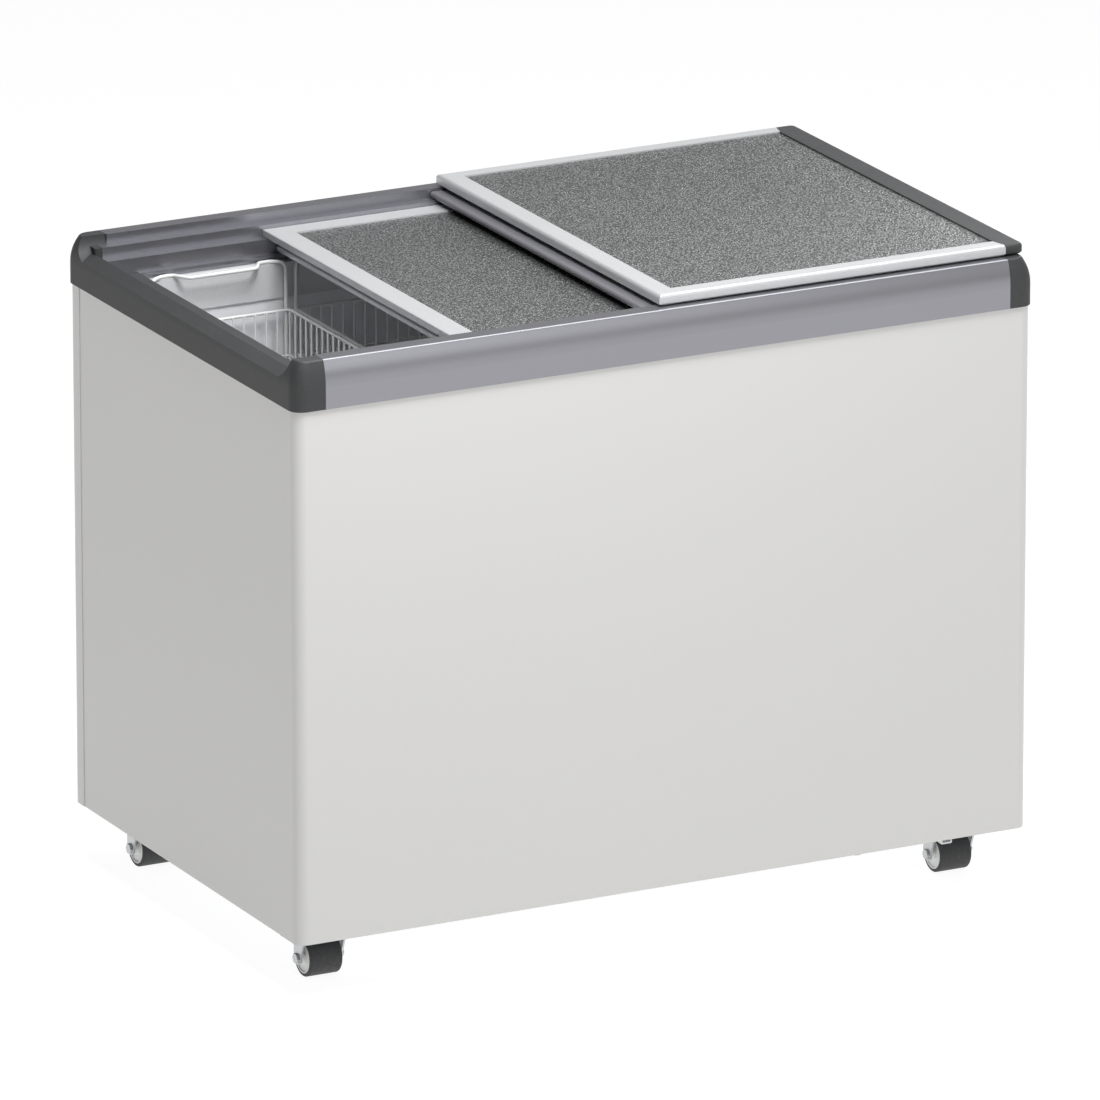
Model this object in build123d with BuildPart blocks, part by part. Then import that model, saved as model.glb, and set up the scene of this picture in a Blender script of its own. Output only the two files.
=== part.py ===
"""Ice cream dipping cabinet: a chest freezer on casters, with two sliding lids and hanging wire baskets.

Millimetres. X runs along the front from left to right, Y runs to the back and Z runs up. The origin is on
the floor, under the centre of the cabinet. The upper lid is stored at the right end of its travel, and the
lower lid part of the way to the right, so that the well is open at the left.
"""

import os

from build123d import *

os.makedirs("parts", exist_ok=True)

# ------------------------------------------------------------------ driving dimensions
# Shell
body_width = 1040.0
body_depth = 656.0
base_height = 72.0  # floor to the underside of the shell
shell_height = 697.0  # underside of the shell to the lower edge of the rim
sheet = 0.8
shell_corner = 15.0  # outside radius of the upright corners
front_wrap = 53.0  # the front panel runs this far back along each side
back_wrap = 31.0  # the back panel runs this far forward along each side
lap = 12.0  # a side panel tucks this far under each wrap
shell_flange = 15.0  # inward flange along the top of the shell panels
contact_gap = 0.1  # between fixed pieces that lie against each other
tray_sheet = 1.5
tray_wall = 25.0

# Rim
rim_overhang = 2.5
rim_rise = 63.0
rim_lean_x = 11.0  # how far the rim's outer face leans in at its top, on the sides
rim_lean_y = 7.5  # the same at the front and back
rim_upright = 28.0  # the outer face stands upright this far, then curves in to the top
rim_edge = 3.5  # round along the rim's top outer edge
rim_band = 30.5  # outer face to the inner edge of the top flat
rim_wall = 2.0
ledge_width = 15.0
upper_ledge_drop = 12.5  # top flat to the upper lid's ledge
lower_ledge_drop = 14.5  # upper lid's ledge to the lower lid's ledge
lip_drop = 19.0  # lower lid's ledge to the shading lip
lip_width = 8.0
lip_height = 4.0
groove_height = 5.5  # shading lip to the basket ledge
groove_depth = 4.0
rim_foot = 18.5  # inward foot that stands on the shell's flange
step_round = 0.8  # round on the lid ledges' edges

# End caps of the rim
left_block = 43.5  # corner blocks of the left cap, along X
right_block = 36.0
block_depth = 27.0  # flat top of a corner block, from the outer face
block_sweep = 27.0  # length of the curve down from a block to the side rail
rail_width = 22.5
rail_drop = 20.5  # rim's top to the side rail's inner edge
rail_slope = 7.0  # the rail's top falls this much towards the outside
cap_wall = 3.0
cap_flange = 50.0  # shelf from the side rail in to the mouth of the well
cap_flange_sheet = 2.0
ledge_end = 8.0  # the ledges stop this far short of the side rail

# Well
wall_thickness_x = 66.0  # shell to liner, on the sides
wall_thickness_y = 71.0
floor_thickness = 70.0
liner_sheet = 0.8
liner_corner = 24.0
breaker_wall = 2.5
breaker_depth = 46.5
breaker_flange = 2.0
mouth_inset = 3.0  # the breaker stands in from the liner
machine_width = 243.0  # machine compartment at the right end
machine_height = 302.0
machine_wall = 60.0  # foam between the machine compartment and the liner

# Lids
lid_clearance = 2.0  # lid leg to rim wall, each side
lid_gap = 0.3  # lid runner to ledge
upper_lid_length = 521.0
upper_lid_end_inset = 5.5  # rim's side to the upper lid's end
upper_lid_side_inset = 19.5  # rim's front or back to the upper lid's edge
upper_lid_thickness = 13.5
upper_lid_lift = 1.5  # rim's top flat to the underside of the frame
upper_stile = 28.0
upper_rail = 24.0
upper_edge = 5.0
upper_corner = 9.0  # upright corners of the end cap
upper_cap_width = 27.0
upper_cap_tongue = 6.0  # the end cap's mitre, over the panel
lid_flange = 2.0  # frame's lip over the panel
lid_leg = 3.0
lid_root = 1.0  # how far a leg runs up into its frame
lid_foot = 12.0
lid_foot_sheet = 2.5
panel_sheet = 0.8
grip_depth = 11.0
grip_height = 5.0
grip_reach = 15.0  # lower grip lip beyond the frame's edge
lower_lid_length = 520.0
lower_lid_opening = 234.0  # left side rail to the lower lid, as stored
lower_lid_thickness = 9.2
lower_lid_side_gap = 1.0
lower_lid_hang = 17.3  # underside of the frame to the bottom of the body
lower_stile = 32.0
lower_rail = 31.0
lower_edge = 1.5
lower_recess = 16.0  # body set back from the frame's edge, at both ends
lower_body_gap = 2.0
lower_lip = 4.0
lower_lip_height = 7.0

# Baskets
basket_width = 200.0
basket_end_gap = 9.0  # basket's end to the mouth of the well
basket_height = 200.0
basket_side_gap = 5.0  # first basket to the mouth of the well
basket_pitch = 204.0
basket_hang = 60.5  # basket's ledge down to its rim wire
basket_rim_wire = 4.0
basket_wire = 2.5
basket_mesh = 15.7
basket_corner = 6.0
basket_bands = (59.0, 129.0)  # cross wires, below the rim
weld = 0.2  # how far welded wires sink into each other
handle_wire = 5.0
handle_inset = 3.0  # leg in from the basket's side
handle_foot = 76.0  # leg below the basket's rim
handle_out = 9.5  # shoulder outward of the leg
handle_shoulder = 34.0
handle_ramp = 13.0
handle_jog = 21.0
handle_bend = 9.0

# Casters
caster_inset_x = 69.5  # shell's side to the wheel's centre
caster_inset_y = 85.0  # shell's front or back to the axle
caster_trail = 16.0
wheel_radius = 25.0
wheel_width = 45.0
tyre_thickness = 4.5
hub_recess = 1.5
boss_radius = 8.0
boss_reach = 4.0
axle_radius = 4.0
running_gap = 0.05
fork_gap = 5.0
fork_sheet = 2.5
fork_crown_z = 58.5
fork_eye = 8.5
fork_top_front = 23.0
fork_top_back = 10.0
kingpin_radius = 6.0
race_radius = 20.0
turn_gap = 0.3
plate_size = 62.0
plate_sheet = 3.0
axle_head = 7.0
mount_bolt_head = 5.5
bolt_head_height = 3.0
mount_bolt_spacing = 46.0
mount_bolt_radius = 3.0

# Machine compartment
grille_width = 210.0
grille_height = 256.0
grille_bottom = 26.0  # above the shell's underside
grille_overlap = 10.0
grille_sheet = 1.2
grille_slots = 9
slot_pitch = 17.0
slot_height = 7.0
screw_radius = 1.9
screw_head = 4.0
screw_head_height = 1.1
screw_length = 9.0
pocket_width = 120.0
pocket_height = 62.0
pocket_depth = 30.0
pocket_wall = 2.0
pocket_lip = 4.0
pocket_drop = 14.0  # grille frame to the pocket
thermostat_width = 46.0
thermostat_height = 40.0
thermostat_depth = 22.0
knob_radius = 15.0
knob_height = 16.0
knob_edge = 1.5
knob_stand_off = 3.0
knob_bar = 0.24  # half width of the grip bar, as a share of the radius
knob_bar_height = 5.0
spindle_radius = 3.0
inlet_width = 30.0
inlet_height = 24.0
inlet_depth = 24.0
inlet_wall = 2.5
inlet_lip = 4.0
pin_places = ((-7.0, -2.0), (7.0, -2.0), (0.0, 2.0))
pin_width = 4.0
pin_sheet = 2.0
pin_length = 15.0
can_radius = 62.0
can_height = 118.0
can_dome = 26.0
can_inset = 208.0  # shell's back to the compressor's centre
grommet_radius = 11.0
grommet_height = 15.0
drier_radius = 9.0
drier_length = 110.0
pipe_radius = 3.0
coil_pitch = 44.0
coil_runs = 7
condenser_runs = 13
coil_bend = 20.0

# Fittings under the base
plug_inset_x = 234.0  # shell's side to the drain plug
plug_inset_y = 28.0
plug_radius = 5.0
plug_head = 9.0
bracket_inset_x = 106.0
bracket_inset_y = 25.0
bracket_width = 16.0
bracket_drop = 13.0
bracket_depth = 8.0
bracket_sheet = 2.0

# ------------------------------------------------------------------ places worked out from them
half_x = body_width / 2
half_y = body_depth / 2
rim_bottom = base_height + shell_height
rim_top = rim_bottom + rim_rise
rim_x = half_x + rim_overhang
rim_y = half_y + rim_overhang
flat_y = rim_y - rim_band
upper_ledge_y = flat_y - ledge_width
lower_ledge_y = upper_ledge_y - ledge_width
lip_y = lower_ledge_y - lip_width
upper_ledge_z = rim_top - upper_ledge_drop
lower_ledge_z = upper_ledge_z - lower_ledge_drop
lip_z = lower_ledge_z - lip_drop
groove_z = lip_z - lip_height
basket_ledge_z = groove_z - groove_height
rail_x = rim_x - rail_width
mouth_x = half_x - wall_thickness_x - mouth_inset
mouth_y = half_y - wall_thickness_y - mouth_inset
liner_x = half_x - wall_thickness_x
liner_y = half_y - wall_thickness_y
liner_floor = base_height + floor_thickness
panel_top = rim_bottom - contact_gap
tray_top = base_height + tray_sheet
machine_x = half_x - sheet * 2 - machine_width
machine_top = tray_top + machine_height
step_x = machine_x - machine_wall
step_z = machine_top + machine_wall
upper_lid_right = rim_x - upper_lid_end_inset
upper_lid_left = upper_lid_right - upper_lid_length
upper_lid_half = rim_y - upper_lid_side_inset
lower_lid_left = lower_lid_opening - rail_x
basket_length = 2 * (mouth_y - basket_end_gap)
basket_left = basket_side_gap - mouth_x
basket_rim_z = basket_ledge_z - basket_hang
plug_x = half_x - plug_inset_x
plug_y = plug_inset_y - half_y
bracket_x = half_x - bracket_inset_x
bracket_y = bracket_inset_y - half_y


def save(piece, node):
    """Label a finished piece and write its STEP file."""
    piece.part.label = node
    export_step(piece.part, f"parts/{node}.step")


def bent_rod(points, bend, radius):
    """Round wire, rod or pipe along straight runs joined by bends."""
    with BuildPart() as rod:
        with BuildLine() as path:
            FilletPolyline(*points, radius=bend)
        with BuildSketch(Plane(origin=path.line @ 0, z_dir=path.line % 0)):
            Circle(radius)
        sweep()
    return rod.part


# ------------------------------------------------------------------ shell
def wrap_panel(side, wrap):
    """Sheet that makes the front or back of the shell and wraps both of its corners."""
    with BuildPart() as panel:
        for bottom, height, inside in (
            (base_height, panel_top - base_height, sheet),
            (panel_top - sheet, sheet, shell_flange),
        ):
            with BuildSketch(Plane.XY.offset(bottom)):
                RectangleRounded(body_width, body_depth, shell_corner)
                RectangleRounded(
                    body_width - 2 * inside,
                    body_depth - 2 * inside,
                    max(shell_corner - inside, 0.5),
                    mode=Mode.SUBTRACT,
                )
                with Locations((0, side * (half_y - wrap / 2))):
                    Rectangle(body_width, wrap, mode=Mode.INTERSECT)
            extrude(amount=height)
    return panel


front_panel = wrap_panel(-1, front_wrap)
save(front_panel, "front_panel")

grille_x = machine_x + machine_width / 2
grille_z = base_height + grille_bottom + grille_height / 2
screw_x = grille_width / 2 - grille_overlap / 2
screw_z = grille_height / 2 - grille_overlap / 2
behind_back = Plane(origin=(grille_x, half_y, grille_z), x_dir=(-1, 0, 0), z_dir=(0, 1, 0))

with BuildPart() as back_panel:
    add(wrap_panel(1, back_wrap).part)
    with BuildSketch(behind_back):
        Rectangle(grille_width - 2 * grille_overlap, grille_height - 2 * grille_overlap)
        with GridLocations(2 * screw_x, 2 * screw_z, 2, 2):
            Circle(screw_radius)
    extrude(amount=-2 * sheet, mode=Mode.SUBTRACT)
save(back_panel, "back_panel")

side_skin = half_x - sheet - contact_gap
side_front = -half_y + front_wrap
side_back = half_y - back_wrap
for node, side in (("side_panel_left", -1), ("side_panel_right", 1)):
    with BuildPart() as side_panel:
        with BuildSketch(Plane.XY.offset(base_height)):
            with Locations((side * (side_skin - sheet / 2), (side_front + side_back) / 2)):
                Rectangle(sheet, side_back - side_front + 2 * lap)
        extrude(amount=panel_top - sheet - contact_gap - base_height)
        with BuildSketch(Plane.XY.offset(panel_top - sheet)):
            with Locations((side * (half_x - shell_flange / 2), (side_front + side_back) / 2)):
                Rectangle(shell_flange, side_back - side_front - 2 * contact_gap)
        extrude(amount=sheet)
        with BuildSketch(Plane.XY.offset(panel_top - 2 * sheet)):
            with Locations((side * (side_skin - sheet / 2), (side_front + side_back) / 2)):
                Rectangle(sheet, side_back - side_front - 2 * contact_gap)
        extrude(amount=2 * sheet)
    save(side_panel, node)

tray_x = side_skin - sheet - contact_gap
tray_y = half_y - sheet - contact_gap
caster_x = half_x - caster_inset_x
front_axle_y = -half_y + caster_inset_y
back_axle_y = half_y - caster_inset_y
caster_points = {
    "fl": (-caster_x, front_axle_y - caster_trail),
    "fr": (caster_x, front_axle_y - caster_trail),
    "bl": (-caster_x, back_axle_y - caster_trail),
    "br": (caster_x, back_axle_y - caster_trail),
}

with BuildPart() as base_tray:
    with BuildSketch(Plane.XY.offset(base_height)):
        RectangleRounded(2 * tray_x, 2 * tray_y, shell_corner - sheet)
    extrude(amount=tray_wall)
    with BuildSketch(Plane.XY.offset(tray_top)):
        RectangleRounded(
            2 * (tray_x - tray_sheet), 2 * (tray_y - tray_sheet), shell_corner - sheet - tray_sheet
        )
    extrude(amount=tray_wall, mode=Mode.SUBTRACT)
    with BuildSketch(Plane.XY.offset(base_height)):
        with Locations(*caster_points.values()):
            with GridLocations(mount_bolt_spacing, mount_bolt_spacing, 2, 2):
                Circle(mount_bolt_radius + running_gap)
        with Locations((plug_x, plug_y)):
            Circle(plug_radius + running_gap)
    extrude(amount=tray_sheet, mode=Mode.SUBTRACT)
save(base_tray, "base_tray")

# ------------------------------------------------------------------ well: liner, breaker and foam
well_profile = (
    (-liner_x, liner_floor),
    (step_x, liner_floor),
    (step_x, step_z),
    (liner_x, step_z),
    (liner_x, basket_ledge_z - breaker_flange - 2 * contact_gap),
    (-liner_x, basket_ledge_z - breaker_flange - 2 * contact_gap),
)


def well_solid(grow):
    """Solid of the well's inside, grown by the liner's sheet and open at the top."""
    left, floor = well_profile[0]
    top = well_profile[-1][1]
    with BuildPart() as solid:
        with BuildSketch(Plane.XZ):
            with BuildLine():
                Polyline(
                    (left - grow, floor - grow),
                    (step_x + grow, floor - grow),
                    (step_x + grow, step_z - grow),
                    (liner_x + grow, step_z - grow),
                    (liner_x + grow, top),
                    (left - grow, top),
                    close=True,
                )
            make_face()
        extrude(amount=liner_y + grow, both=True)
        upright = solid.edges().filter_by(Axis.Z)
        outer = upright.filter_by(lambda edge: abs(edge.center().X - step_x - grow) > 1.0)
        fillet(outer, liner_corner + grow)
    return solid.part


with BuildPart() as inner_liner:
    add(well_solid(liner_sheet))
    add(well_solid(0.0), mode=Mode.SUBTRACT)
save(inner_liner, "inner_liner")

with BuildPart() as breaker_frame:
    with BuildSketch(Plane.XY.offset(basket_ledge_z - breaker_depth)):
        RectangleRounded(
            2 * (mouth_x + breaker_wall), 2 * (mouth_y + breaker_wall), liner_corner - mouth_inset + breaker_wall
        )
        RectangleRounded(2 * mouth_x, 2 * mouth_y, liner_corner - mouth_inset, mode=Mode.SUBTRACT)
    extrude(amount=breaker_depth)
    with BuildSketch(Plane.XY.offset(basket_ledge_z - breaker_flange - contact_gap)):
        Rectangle(2 * (rail_x - contact_gap), 2 * lower_ledge_y)
        RectangleRounded(2 * mouth_x, 2 * mouth_y, liner_corner - mouth_inset, mode=Mode.SUBTRACT)
    extrude(amount=breaker_flange)
    trim_z = basket_ledge_z - contact_gap
    with BuildSketch(Plane.XY.offset(trim_z)):
        Rectangle(body_width, body_depth)
    extrude(amount=contact_gap * 2, mode=Mode.SUBTRACT)
save(breaker_frame, "breaker_frame")

coil_y = liner_y + liner_sheet + pipe_radius + contact_gap
coil_half = liner_x - liner_corner - coil_bend
coil_bottom = step_z + coil_pitch / 2


def serpentine(plane, half_length, bottom, runs):
    """Flat pipe coil of level runs joined by bends, in the given upright plane."""
    points = []
    for run in range(runs):
        ends = (-half_length, half_length) if run % 2 == 0 else (half_length, -half_length)
        points += [(end, bottom + run * coil_pitch) for end in ends]
    with BuildPart() as coil:
        with BuildLine(plane) as path:
            FilletPolyline(*points, radius=coil_bend)
        with BuildSketch(Plane(origin=path.line @ 0, z_dir=path.line % 0)):
            Circle(pipe_radius)
        sweep()
    return coil.part


with BuildPart() as evaporator_coil:
    for side in (-1, 1):
        add(serpentine(Plane.XZ.offset(-side * coil_y), coil_half, coil_bottom, coil_runs))
save(evaporator_coil, "evaporator_coil")

condenser_x = side_skin - sheet - contact_gap - pipe_radius - tray_sheet
condenser_half = half_y - shell_corner - coil_bend - pipe_radius
condenser_bottom = tray_top + tray_wall + coil_pitch
with BuildPart() as condenser_coil:
    add(serpentine(Plane.YZ.offset(-condenser_x), condenser_half, condenser_bottom, condenser_runs))
save(condenser_coil, "condenser_coil")

foam_x = tray_x - tray_sheet - contact_gap
foam_y = tray_y - tray_sheet - contact_gap
foam_top = panel_top - sheet - contact_gap
foam_shoulder = basket_ledge_z - breaker_flange - 3 * contact_gap
with BuildPart() as insulation_foam:
    with BuildSketch(Plane.XY.offset(tray_top + contact_gap)):
        RectangleRounded(2 * foam_x, 2 * foam_y, shell_corner - sheet - tray_sheet)
    extrude(amount=foam_top - tray_top - contact_gap)
    with BuildSketch(Plane.XY.offset(foam_top)):
        Rectangle(2 * (half_x - shell_flange - rim_foot), 2 * (half_y - shell_flange - rim_foot))
    extrude(amount=foam_shoulder - foam_top)
    add(well_solid(liner_sheet + contact_gap), mode=Mode.SUBTRACT)
    with BuildSketch(Plane.XZ):
        with Locations((machine_x, 0)):
            Rectangle(machine_width * 2, machine_top, align=(Align.MIN, Align.MIN))
    extrude(amount=body_depth, both=True, mode=Mode.SUBTRACT)
    # flat chases that the pipe coils lie in
    chase = 2 * pipe_radius + 2 * contact_gap
    with BuildSketch(Plane.XY.offset(coil_bottom - chase)):
        for side in (-1, 1):
            with Locations((0, side * coil_y)):
                Rectangle(2 * coil_half + chase + 2 * coil_bend, chase)
    extrude(amount=(coil_runs - 1) * coil_pitch + 2 * chase, mode=Mode.SUBTRACT)
    with BuildSketch(Plane.XY.offset(condenser_bottom - chase)):
        with Locations((-condenser_x, 0)):
            Rectangle(chase, 2 * condenser_half + chase + 2 * coil_bend)
    extrude(amount=(condenser_runs - 1) * coil_pitch + 2 * chase, mode=Mode.SUBTRACT)
save(insulation_foam, "insulation_foam")

# ------------------------------------------------------------------ rim
def leaning_outline(reach, lean):
    """Face of the rim's outer form seen from the end: upright sides that curve in to a flat top."""
    curve_from = rim_bottom + rim_upright
    with BuildSketch() as outline:
        with BuildLine():
            Polyline((-reach, curve_from), (-reach, rim_bottom), (reach, rim_bottom), (reach, curve_from))
            TangentArc((reach, curve_from), (reach - lean, rim_top), tangent=(0, 1))
            Line((reach - lean, rim_top), (lean - reach, rim_top))
            TangentArc((-reach, curve_from), (lean - reach, rim_top), tangent=(0, 1))
        make_face()
    return outline.sketch


with BuildPart() as rim_form:
    with BuildSketch(Plane.XZ):
        add(leaning_outline(rim_x, rim_lean_x))
    extrude(amount=body_depth, both=True)
    with BuildSketch(Plane.YZ):
        add(leaning_outline(rim_y, rim_lean_y))
    extrude(amount=body_width, both=True, mode=Mode.INTERSECT)
    uprights = rim_form.edges().filter_by(
        lambda edge: abs(edge.center().X) > half_x - rim_lean_x and abs(edge.center().Y) > half_y - rim_lean_y
    )
    fillet(uprights, shell_corner + rim_overhang)
    fillet(rim_form.faces().sort_by(Axis.Z)[-1].edges(), rim_edge)

block_left_x = -rim_x + left_block
block_right_x = rim_x - right_block
ledge_end_x = rail_x - ledge_end
outer_wall_y = rim_y - rim_wall
beyond = rim_y + 10.0

with BuildPart() as rim_back:
    with BuildSketch(Plane.YZ) as rim_section:
        with BuildLine():
            Polyline(
                (rim_y - rim_foot, rim_bottom),
                (beyond, rim_bottom),
                (beyond, rim_top),
                (flat_y, rim_top),
                (flat_y, upper_ledge_z),
                (upper_ledge_y, upper_ledge_z),
                (upper_ledge_y, lower_ledge_z),
                (lower_ledge_y, lower_ledge_z),
                (lower_ledge_y, lip_z),
                (lip_y, lip_z),
                (lip_y, groove_z),
                (lip_y + groove_depth, groove_z),
                (lip_y + groove_depth, basket_ledge_z),
                (outer_wall_y, basket_ledge_z),
                (outer_wall_y, rim_bottom + rim_wall),
                (rim_y - rim_foot, rim_bottom + rim_wall),
                close=True,
            )
        make_face()
        steps = rim_section.vertices().filter_by(
            lambda corner: corner.Z > lip_z + 1 and corner.Y < flat_y + 1 and corner.Z > lower_ledge_z - 1
        )
        fillet(steps, step_round)
    extrude(amount=ledge_end_x, both=True)
    add(rim_form.part, mode=Mode.INTERSECT)
    with BuildSketch(Plane.YZ):
        with BuildLine():
            Polyline(
                (outer_wall_y, basket_ledge_z + rim_wall),
                (outer_wall_y, rim_bottom + rim_upright),
                (outer_wall_y - rim_lean_y - rim_wall, rim_top - rim_wall - rim_edge),
                (outer_wall_y - rim_lean_y - rim_wall - rim_edge, rim_top - rim_wall),
                (flat_y + rim_wall, rim_top - rim_wall),
                (flat_y + rim_wall, upper_ledge_z - rim_wall),
                (upper_ledge_y + rim_wall, upper_ledge_z - rim_wall),
                (upper_ledge_y + rim_wall, lower_ledge_z - rim_wall),
                (lower_ledge_y + rim_wall, lower_ledge_z - rim_wall),
                (lower_ledge_y + rim_wall, basket_ledge_z + rim_wall),
                close=True,
            )
        make_face()
    extrude(amount=body_width, both=True, mode=Mode.SUBTRACT)
    # the corner blocks of the end caps stand outside the ledges, and the lip stops at the mouth
    for inner_x, outer_x in ((block_left_x, -body_width), (block_right_x, body_width)):
        with BuildSketch(Plane.XY.offset(rim_bottom)):
            with BuildLine():
                Polyline((inner_x, flat_y), (outer_x, flat_y), (outer_x, beyond), (inner_x, beyond), close=True)
            make_face()
        extrude(amount=rim_rise, mode=Mode.SUBTRACT)
    lip_end = rail_x - cap_flange
    for side in (-1, 1):
        with BuildSketch(Plane.XY.offset(basket_ledge_z)):
            with Locations((side * (lip_end + body_width / 2), 0)):
                Rectangle(body_width, 2 * lower_ledge_y)
        extrude(amount=rim_top - basket_ledge_z, mode=Mode.SUBTRACT)
save(rim_back, "rim_back")

with BuildPart() as rim_front:
    mirror(rim_back.part, about=Plane.XZ)
save(rim_front, "rim_front")


def end_cap(block_width):
    """Moulded cap at the right end of the rim, with the side rail, a shelf and two corner blocks."""
    block_x = rim_x - block_width
    sweep_end = rim_y - block_depth - block_sweep
    rail_z = rim_top - rail_drop
    with BuildPart() as block:
        add(rim_form.part)
        with BuildSketch(Plane.XY.offset(rim_bottom)):
            with Locations((block_x, flat_y + contact_gap)):
                Rectangle(body_width, body_depth, align=(Align.MIN, Align.MIN))
            with Locations((rail_x, sweep_end)):
                Rectangle(body_width, body_depth, align=(Align.MIN, Align.MIN))
        extrude(amount=2 * rim_rise, both=True, mode=Mode.INTERSECT)
        with BuildSketch(Plane.YZ):
            with BuildLine():
                Polyline(
                    (sweep_end, rail_z - rail_slope),
                    (sweep_end, rim_bottom - rim_rise),
                    (beyond, rim_bottom - rim_rise),
                    (beyond, rim_top + rim_rise),
                    (rim_y - block_depth, rim_top + rim_rise),
                    (rim_y - block_depth, rim_top),
                )
                ThreePointArc(
                    (rim_y - block_depth, rim_top),
                    (rim_y - block_depth - block_sweep * 0.24, rim_top - rail_drop * 0.85),
                    (sweep_end, rail_z - rail_slope),
                )
            make_face()
        extrude(amount=body_width, mode=Mode.INTERSECT)
    with BuildPart() as cap:
        with BuildSketch(Plane.XZ):
            with BuildLine():
                Polyline(
                    (rim_x + 8, rim_bottom),
                    (rim_x + 8, rail_z - rail_slope * (rail_width + 8) / rail_width),
                    (rail_x + 2, rail_z),
                    (rail_x, rail_z - 2),
                    (rail_x, lip_z),
                    (rail_x - cap_flange, lip_z),
                    (rail_x - cap_flange, lip_z - cap_flange_sheet),
                    (rail_x, lip_z - cap_flange_sheet),
                    (rail_x, basket_ledge_z + contact_gap),
                    (rim_x - rim_foot, basket_ledge_z + contact_gap),
                    (rim_x - rim_foot, rim_bottom),
                    close=True,
                )
            make_face()
        extrude(amount=flat_y, both=True)
        add(rim_form.part, mode=Mode.INTERSECT)
        with BuildSketch(Plane.XY.offset(basket_ledge_z)):
            for side in (-1, 1):
                with Locations((ledge_end_x + contact_gap, side * (lower_ledge_y - contact_gap))):
                    Rectangle(
                        body_width,
                        body_depth,
                        align=(Align.MAX, Align.MIN if side > 0 else Align.MAX),
                    )
        extrude(amount=rim_rise, mode=Mode.SUBTRACT)
        add(block.part)
        mirror(block.part, about=Plane.XZ)
        # fillings behind the ends of the two lid ledges
        for inner_y, outer_y, top in (
            (lower_ledge_y, upper_ledge_y, lower_ledge_z),
            (upper_ledge_y, flat_y, upper_ledge_z),
        ):
            for side in (-1, 1):
                with BuildSketch(Plane.XY.offset(basket_ledge_z + contact_gap)):
                    with Locations((ledge_end_x + contact_gap, side * (inner_y + outer_y) / 2)):
                        Rectangle(ledge_end + 2, outer_y - inner_y + 1, align=(Align.MIN, Align.CENTER))
                extrude(amount=top - lid_gap - basket_ledge_z)
        # hollow under the rail and the blocks, open below
        with BuildSketch(Plane.XZ):
            with BuildLine():
                Polyline(
                    (rail_x + cap_wall, rim_bottom + rim_wall),
                    (rim_x - rim_wall, rim_bottom + rim_wall),
                    (rim_x - rim_wall, rim_bottom + rim_upright - cap_wall),
                    (rail_x + cap_wall, rail_z - cap_wall - rail_slope),
                    close=True,
                )
            make_face()
        extrude(amount=flat_y, both=True, mode=Mode.SUBTRACT)
        with BuildSketch(Plane.XY.offset(rim_bottom)):
            Rectangle(2 * (rim_x - rim_foot), 2 * (rim_y - rim_foot))
        extrude(amount=basket_ledge_z + contact_gap - rim_bottom, mode=Mode.SUBTRACT)
    return cap


with BuildPart() as end_cap_right:
    add(end_cap(right_block).part)
save(end_cap_right, "end_cap_right")

with BuildPart() as end_cap_left:
    mirror(end_cap(left_block).part, about=Plane.YZ)
save(end_cap_left, "end_cap_left")

# ------------------------------------------------------------------ upper lid
upper_bottom = rim_top + upper_lid_lift
upper_top = upper_bottom + upper_lid_thickness
upper_foot_z = upper_ledge_z + lid_gap
upper_leg_y = flat_y - lid_clearance
upper_panel_left = upper_lid_left + upper_stile
upper_panel_right = upper_lid_right - upper_cap_width - upper_cap_tongue
upper_panel_y = upper_lid_half - upper_rail
upper_web_x = upper_lid_left + grip_depth
upper_skirt_x = rail_x - lid_clearance / 4
upper_flange_z = upper_top - lid_flange


def past(inner, outer):
    """Point on the mitre line from a panel's corner through its frame's corner, half as far again."""
    return tuple(far + (far - near) / 2 for near, far in zip(inner, outer))


def plan_prism(points, bottom, top):
    """Upright prism on a plan outline, standing out above and below the levels given."""
    with BuildPart() as prism:
        with BuildSketch(Plane.XY.offset(bottom - upper_rail)):
            with BuildLine():
                Polyline(*points, close=True)
            make_face()
        extrude(amount=top - bottom + 2 * upper_rail)
    return prism.part


def slab(left, right, half, bottom, top):
    """Flat rectangular piece, centred front to back."""
    with BuildPart() as piece:
        with BuildSketch(Plane.XY.offset(bottom)):
            with Locations(((left + right) / 2, 0)):
                Rectangle(right - left, 2 * half)
        extrude(amount=top - bottom)
    return piece


def frame_form(outer, pocket, window, bottom, top, right_corner=0.0):
    """Lid frame with square edges: a slab hollowed from below and opened over its sheet."""
    with BuildPart() as form:
        add(slab(*outer, bottom, top).part)
        if right_corner:
            fillet(form.edges().filter_by(Axis.Z).group_by(Axis.X)[-1], right_corner)
        add(slab(*pocket, bottom - lid_root, top - lid_flange).part, mode=Mode.SUBTRACT)
        add(slab(*window, bottom, top + lid_root).part, mode=Mode.SUBTRACT)
    return form.part


def frame_piece(form, plan, outer, bottom, top, edge_round, edge_chamfer):
    """One mitred piece of a lid frame, with its outer edges rounded above and chamfered below."""
    left, right, half = outer
    with BuildPart() as piece:
        add(form)
        add(plan_prism(plan, bottom, top), mode=Mode.INTERSECT)
        for level in (top, bottom):
            outline = piece.edges().filter_by(
                lambda edge: abs(edge.center().Z - level) < contact_gap
                and (
                    abs(edge.center().X - left) < contact_gap
                    or abs(edge.center().X - right) < contact_gap
                    or abs(abs(edge.center().Y) - half) < contact_gap
                )
            )
            if level == top:
                fillet(outline, edge_round)
            else:
                chamfer(outline, edge_chamfer)
    return piece.part


upper_outer = (upper_lid_left, upper_lid_right, upper_lid_half)
upper_form = frame_form(
    upper_outer,
    (upper_web_x + lid_leg, upper_skirt_x - lid_leg, upper_leg_y - lid_leg),
    (upper_panel_left, upper_panel_right, upper_panel_y),
    upper_bottom,
    upper_top,
    upper_corner,
)

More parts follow.
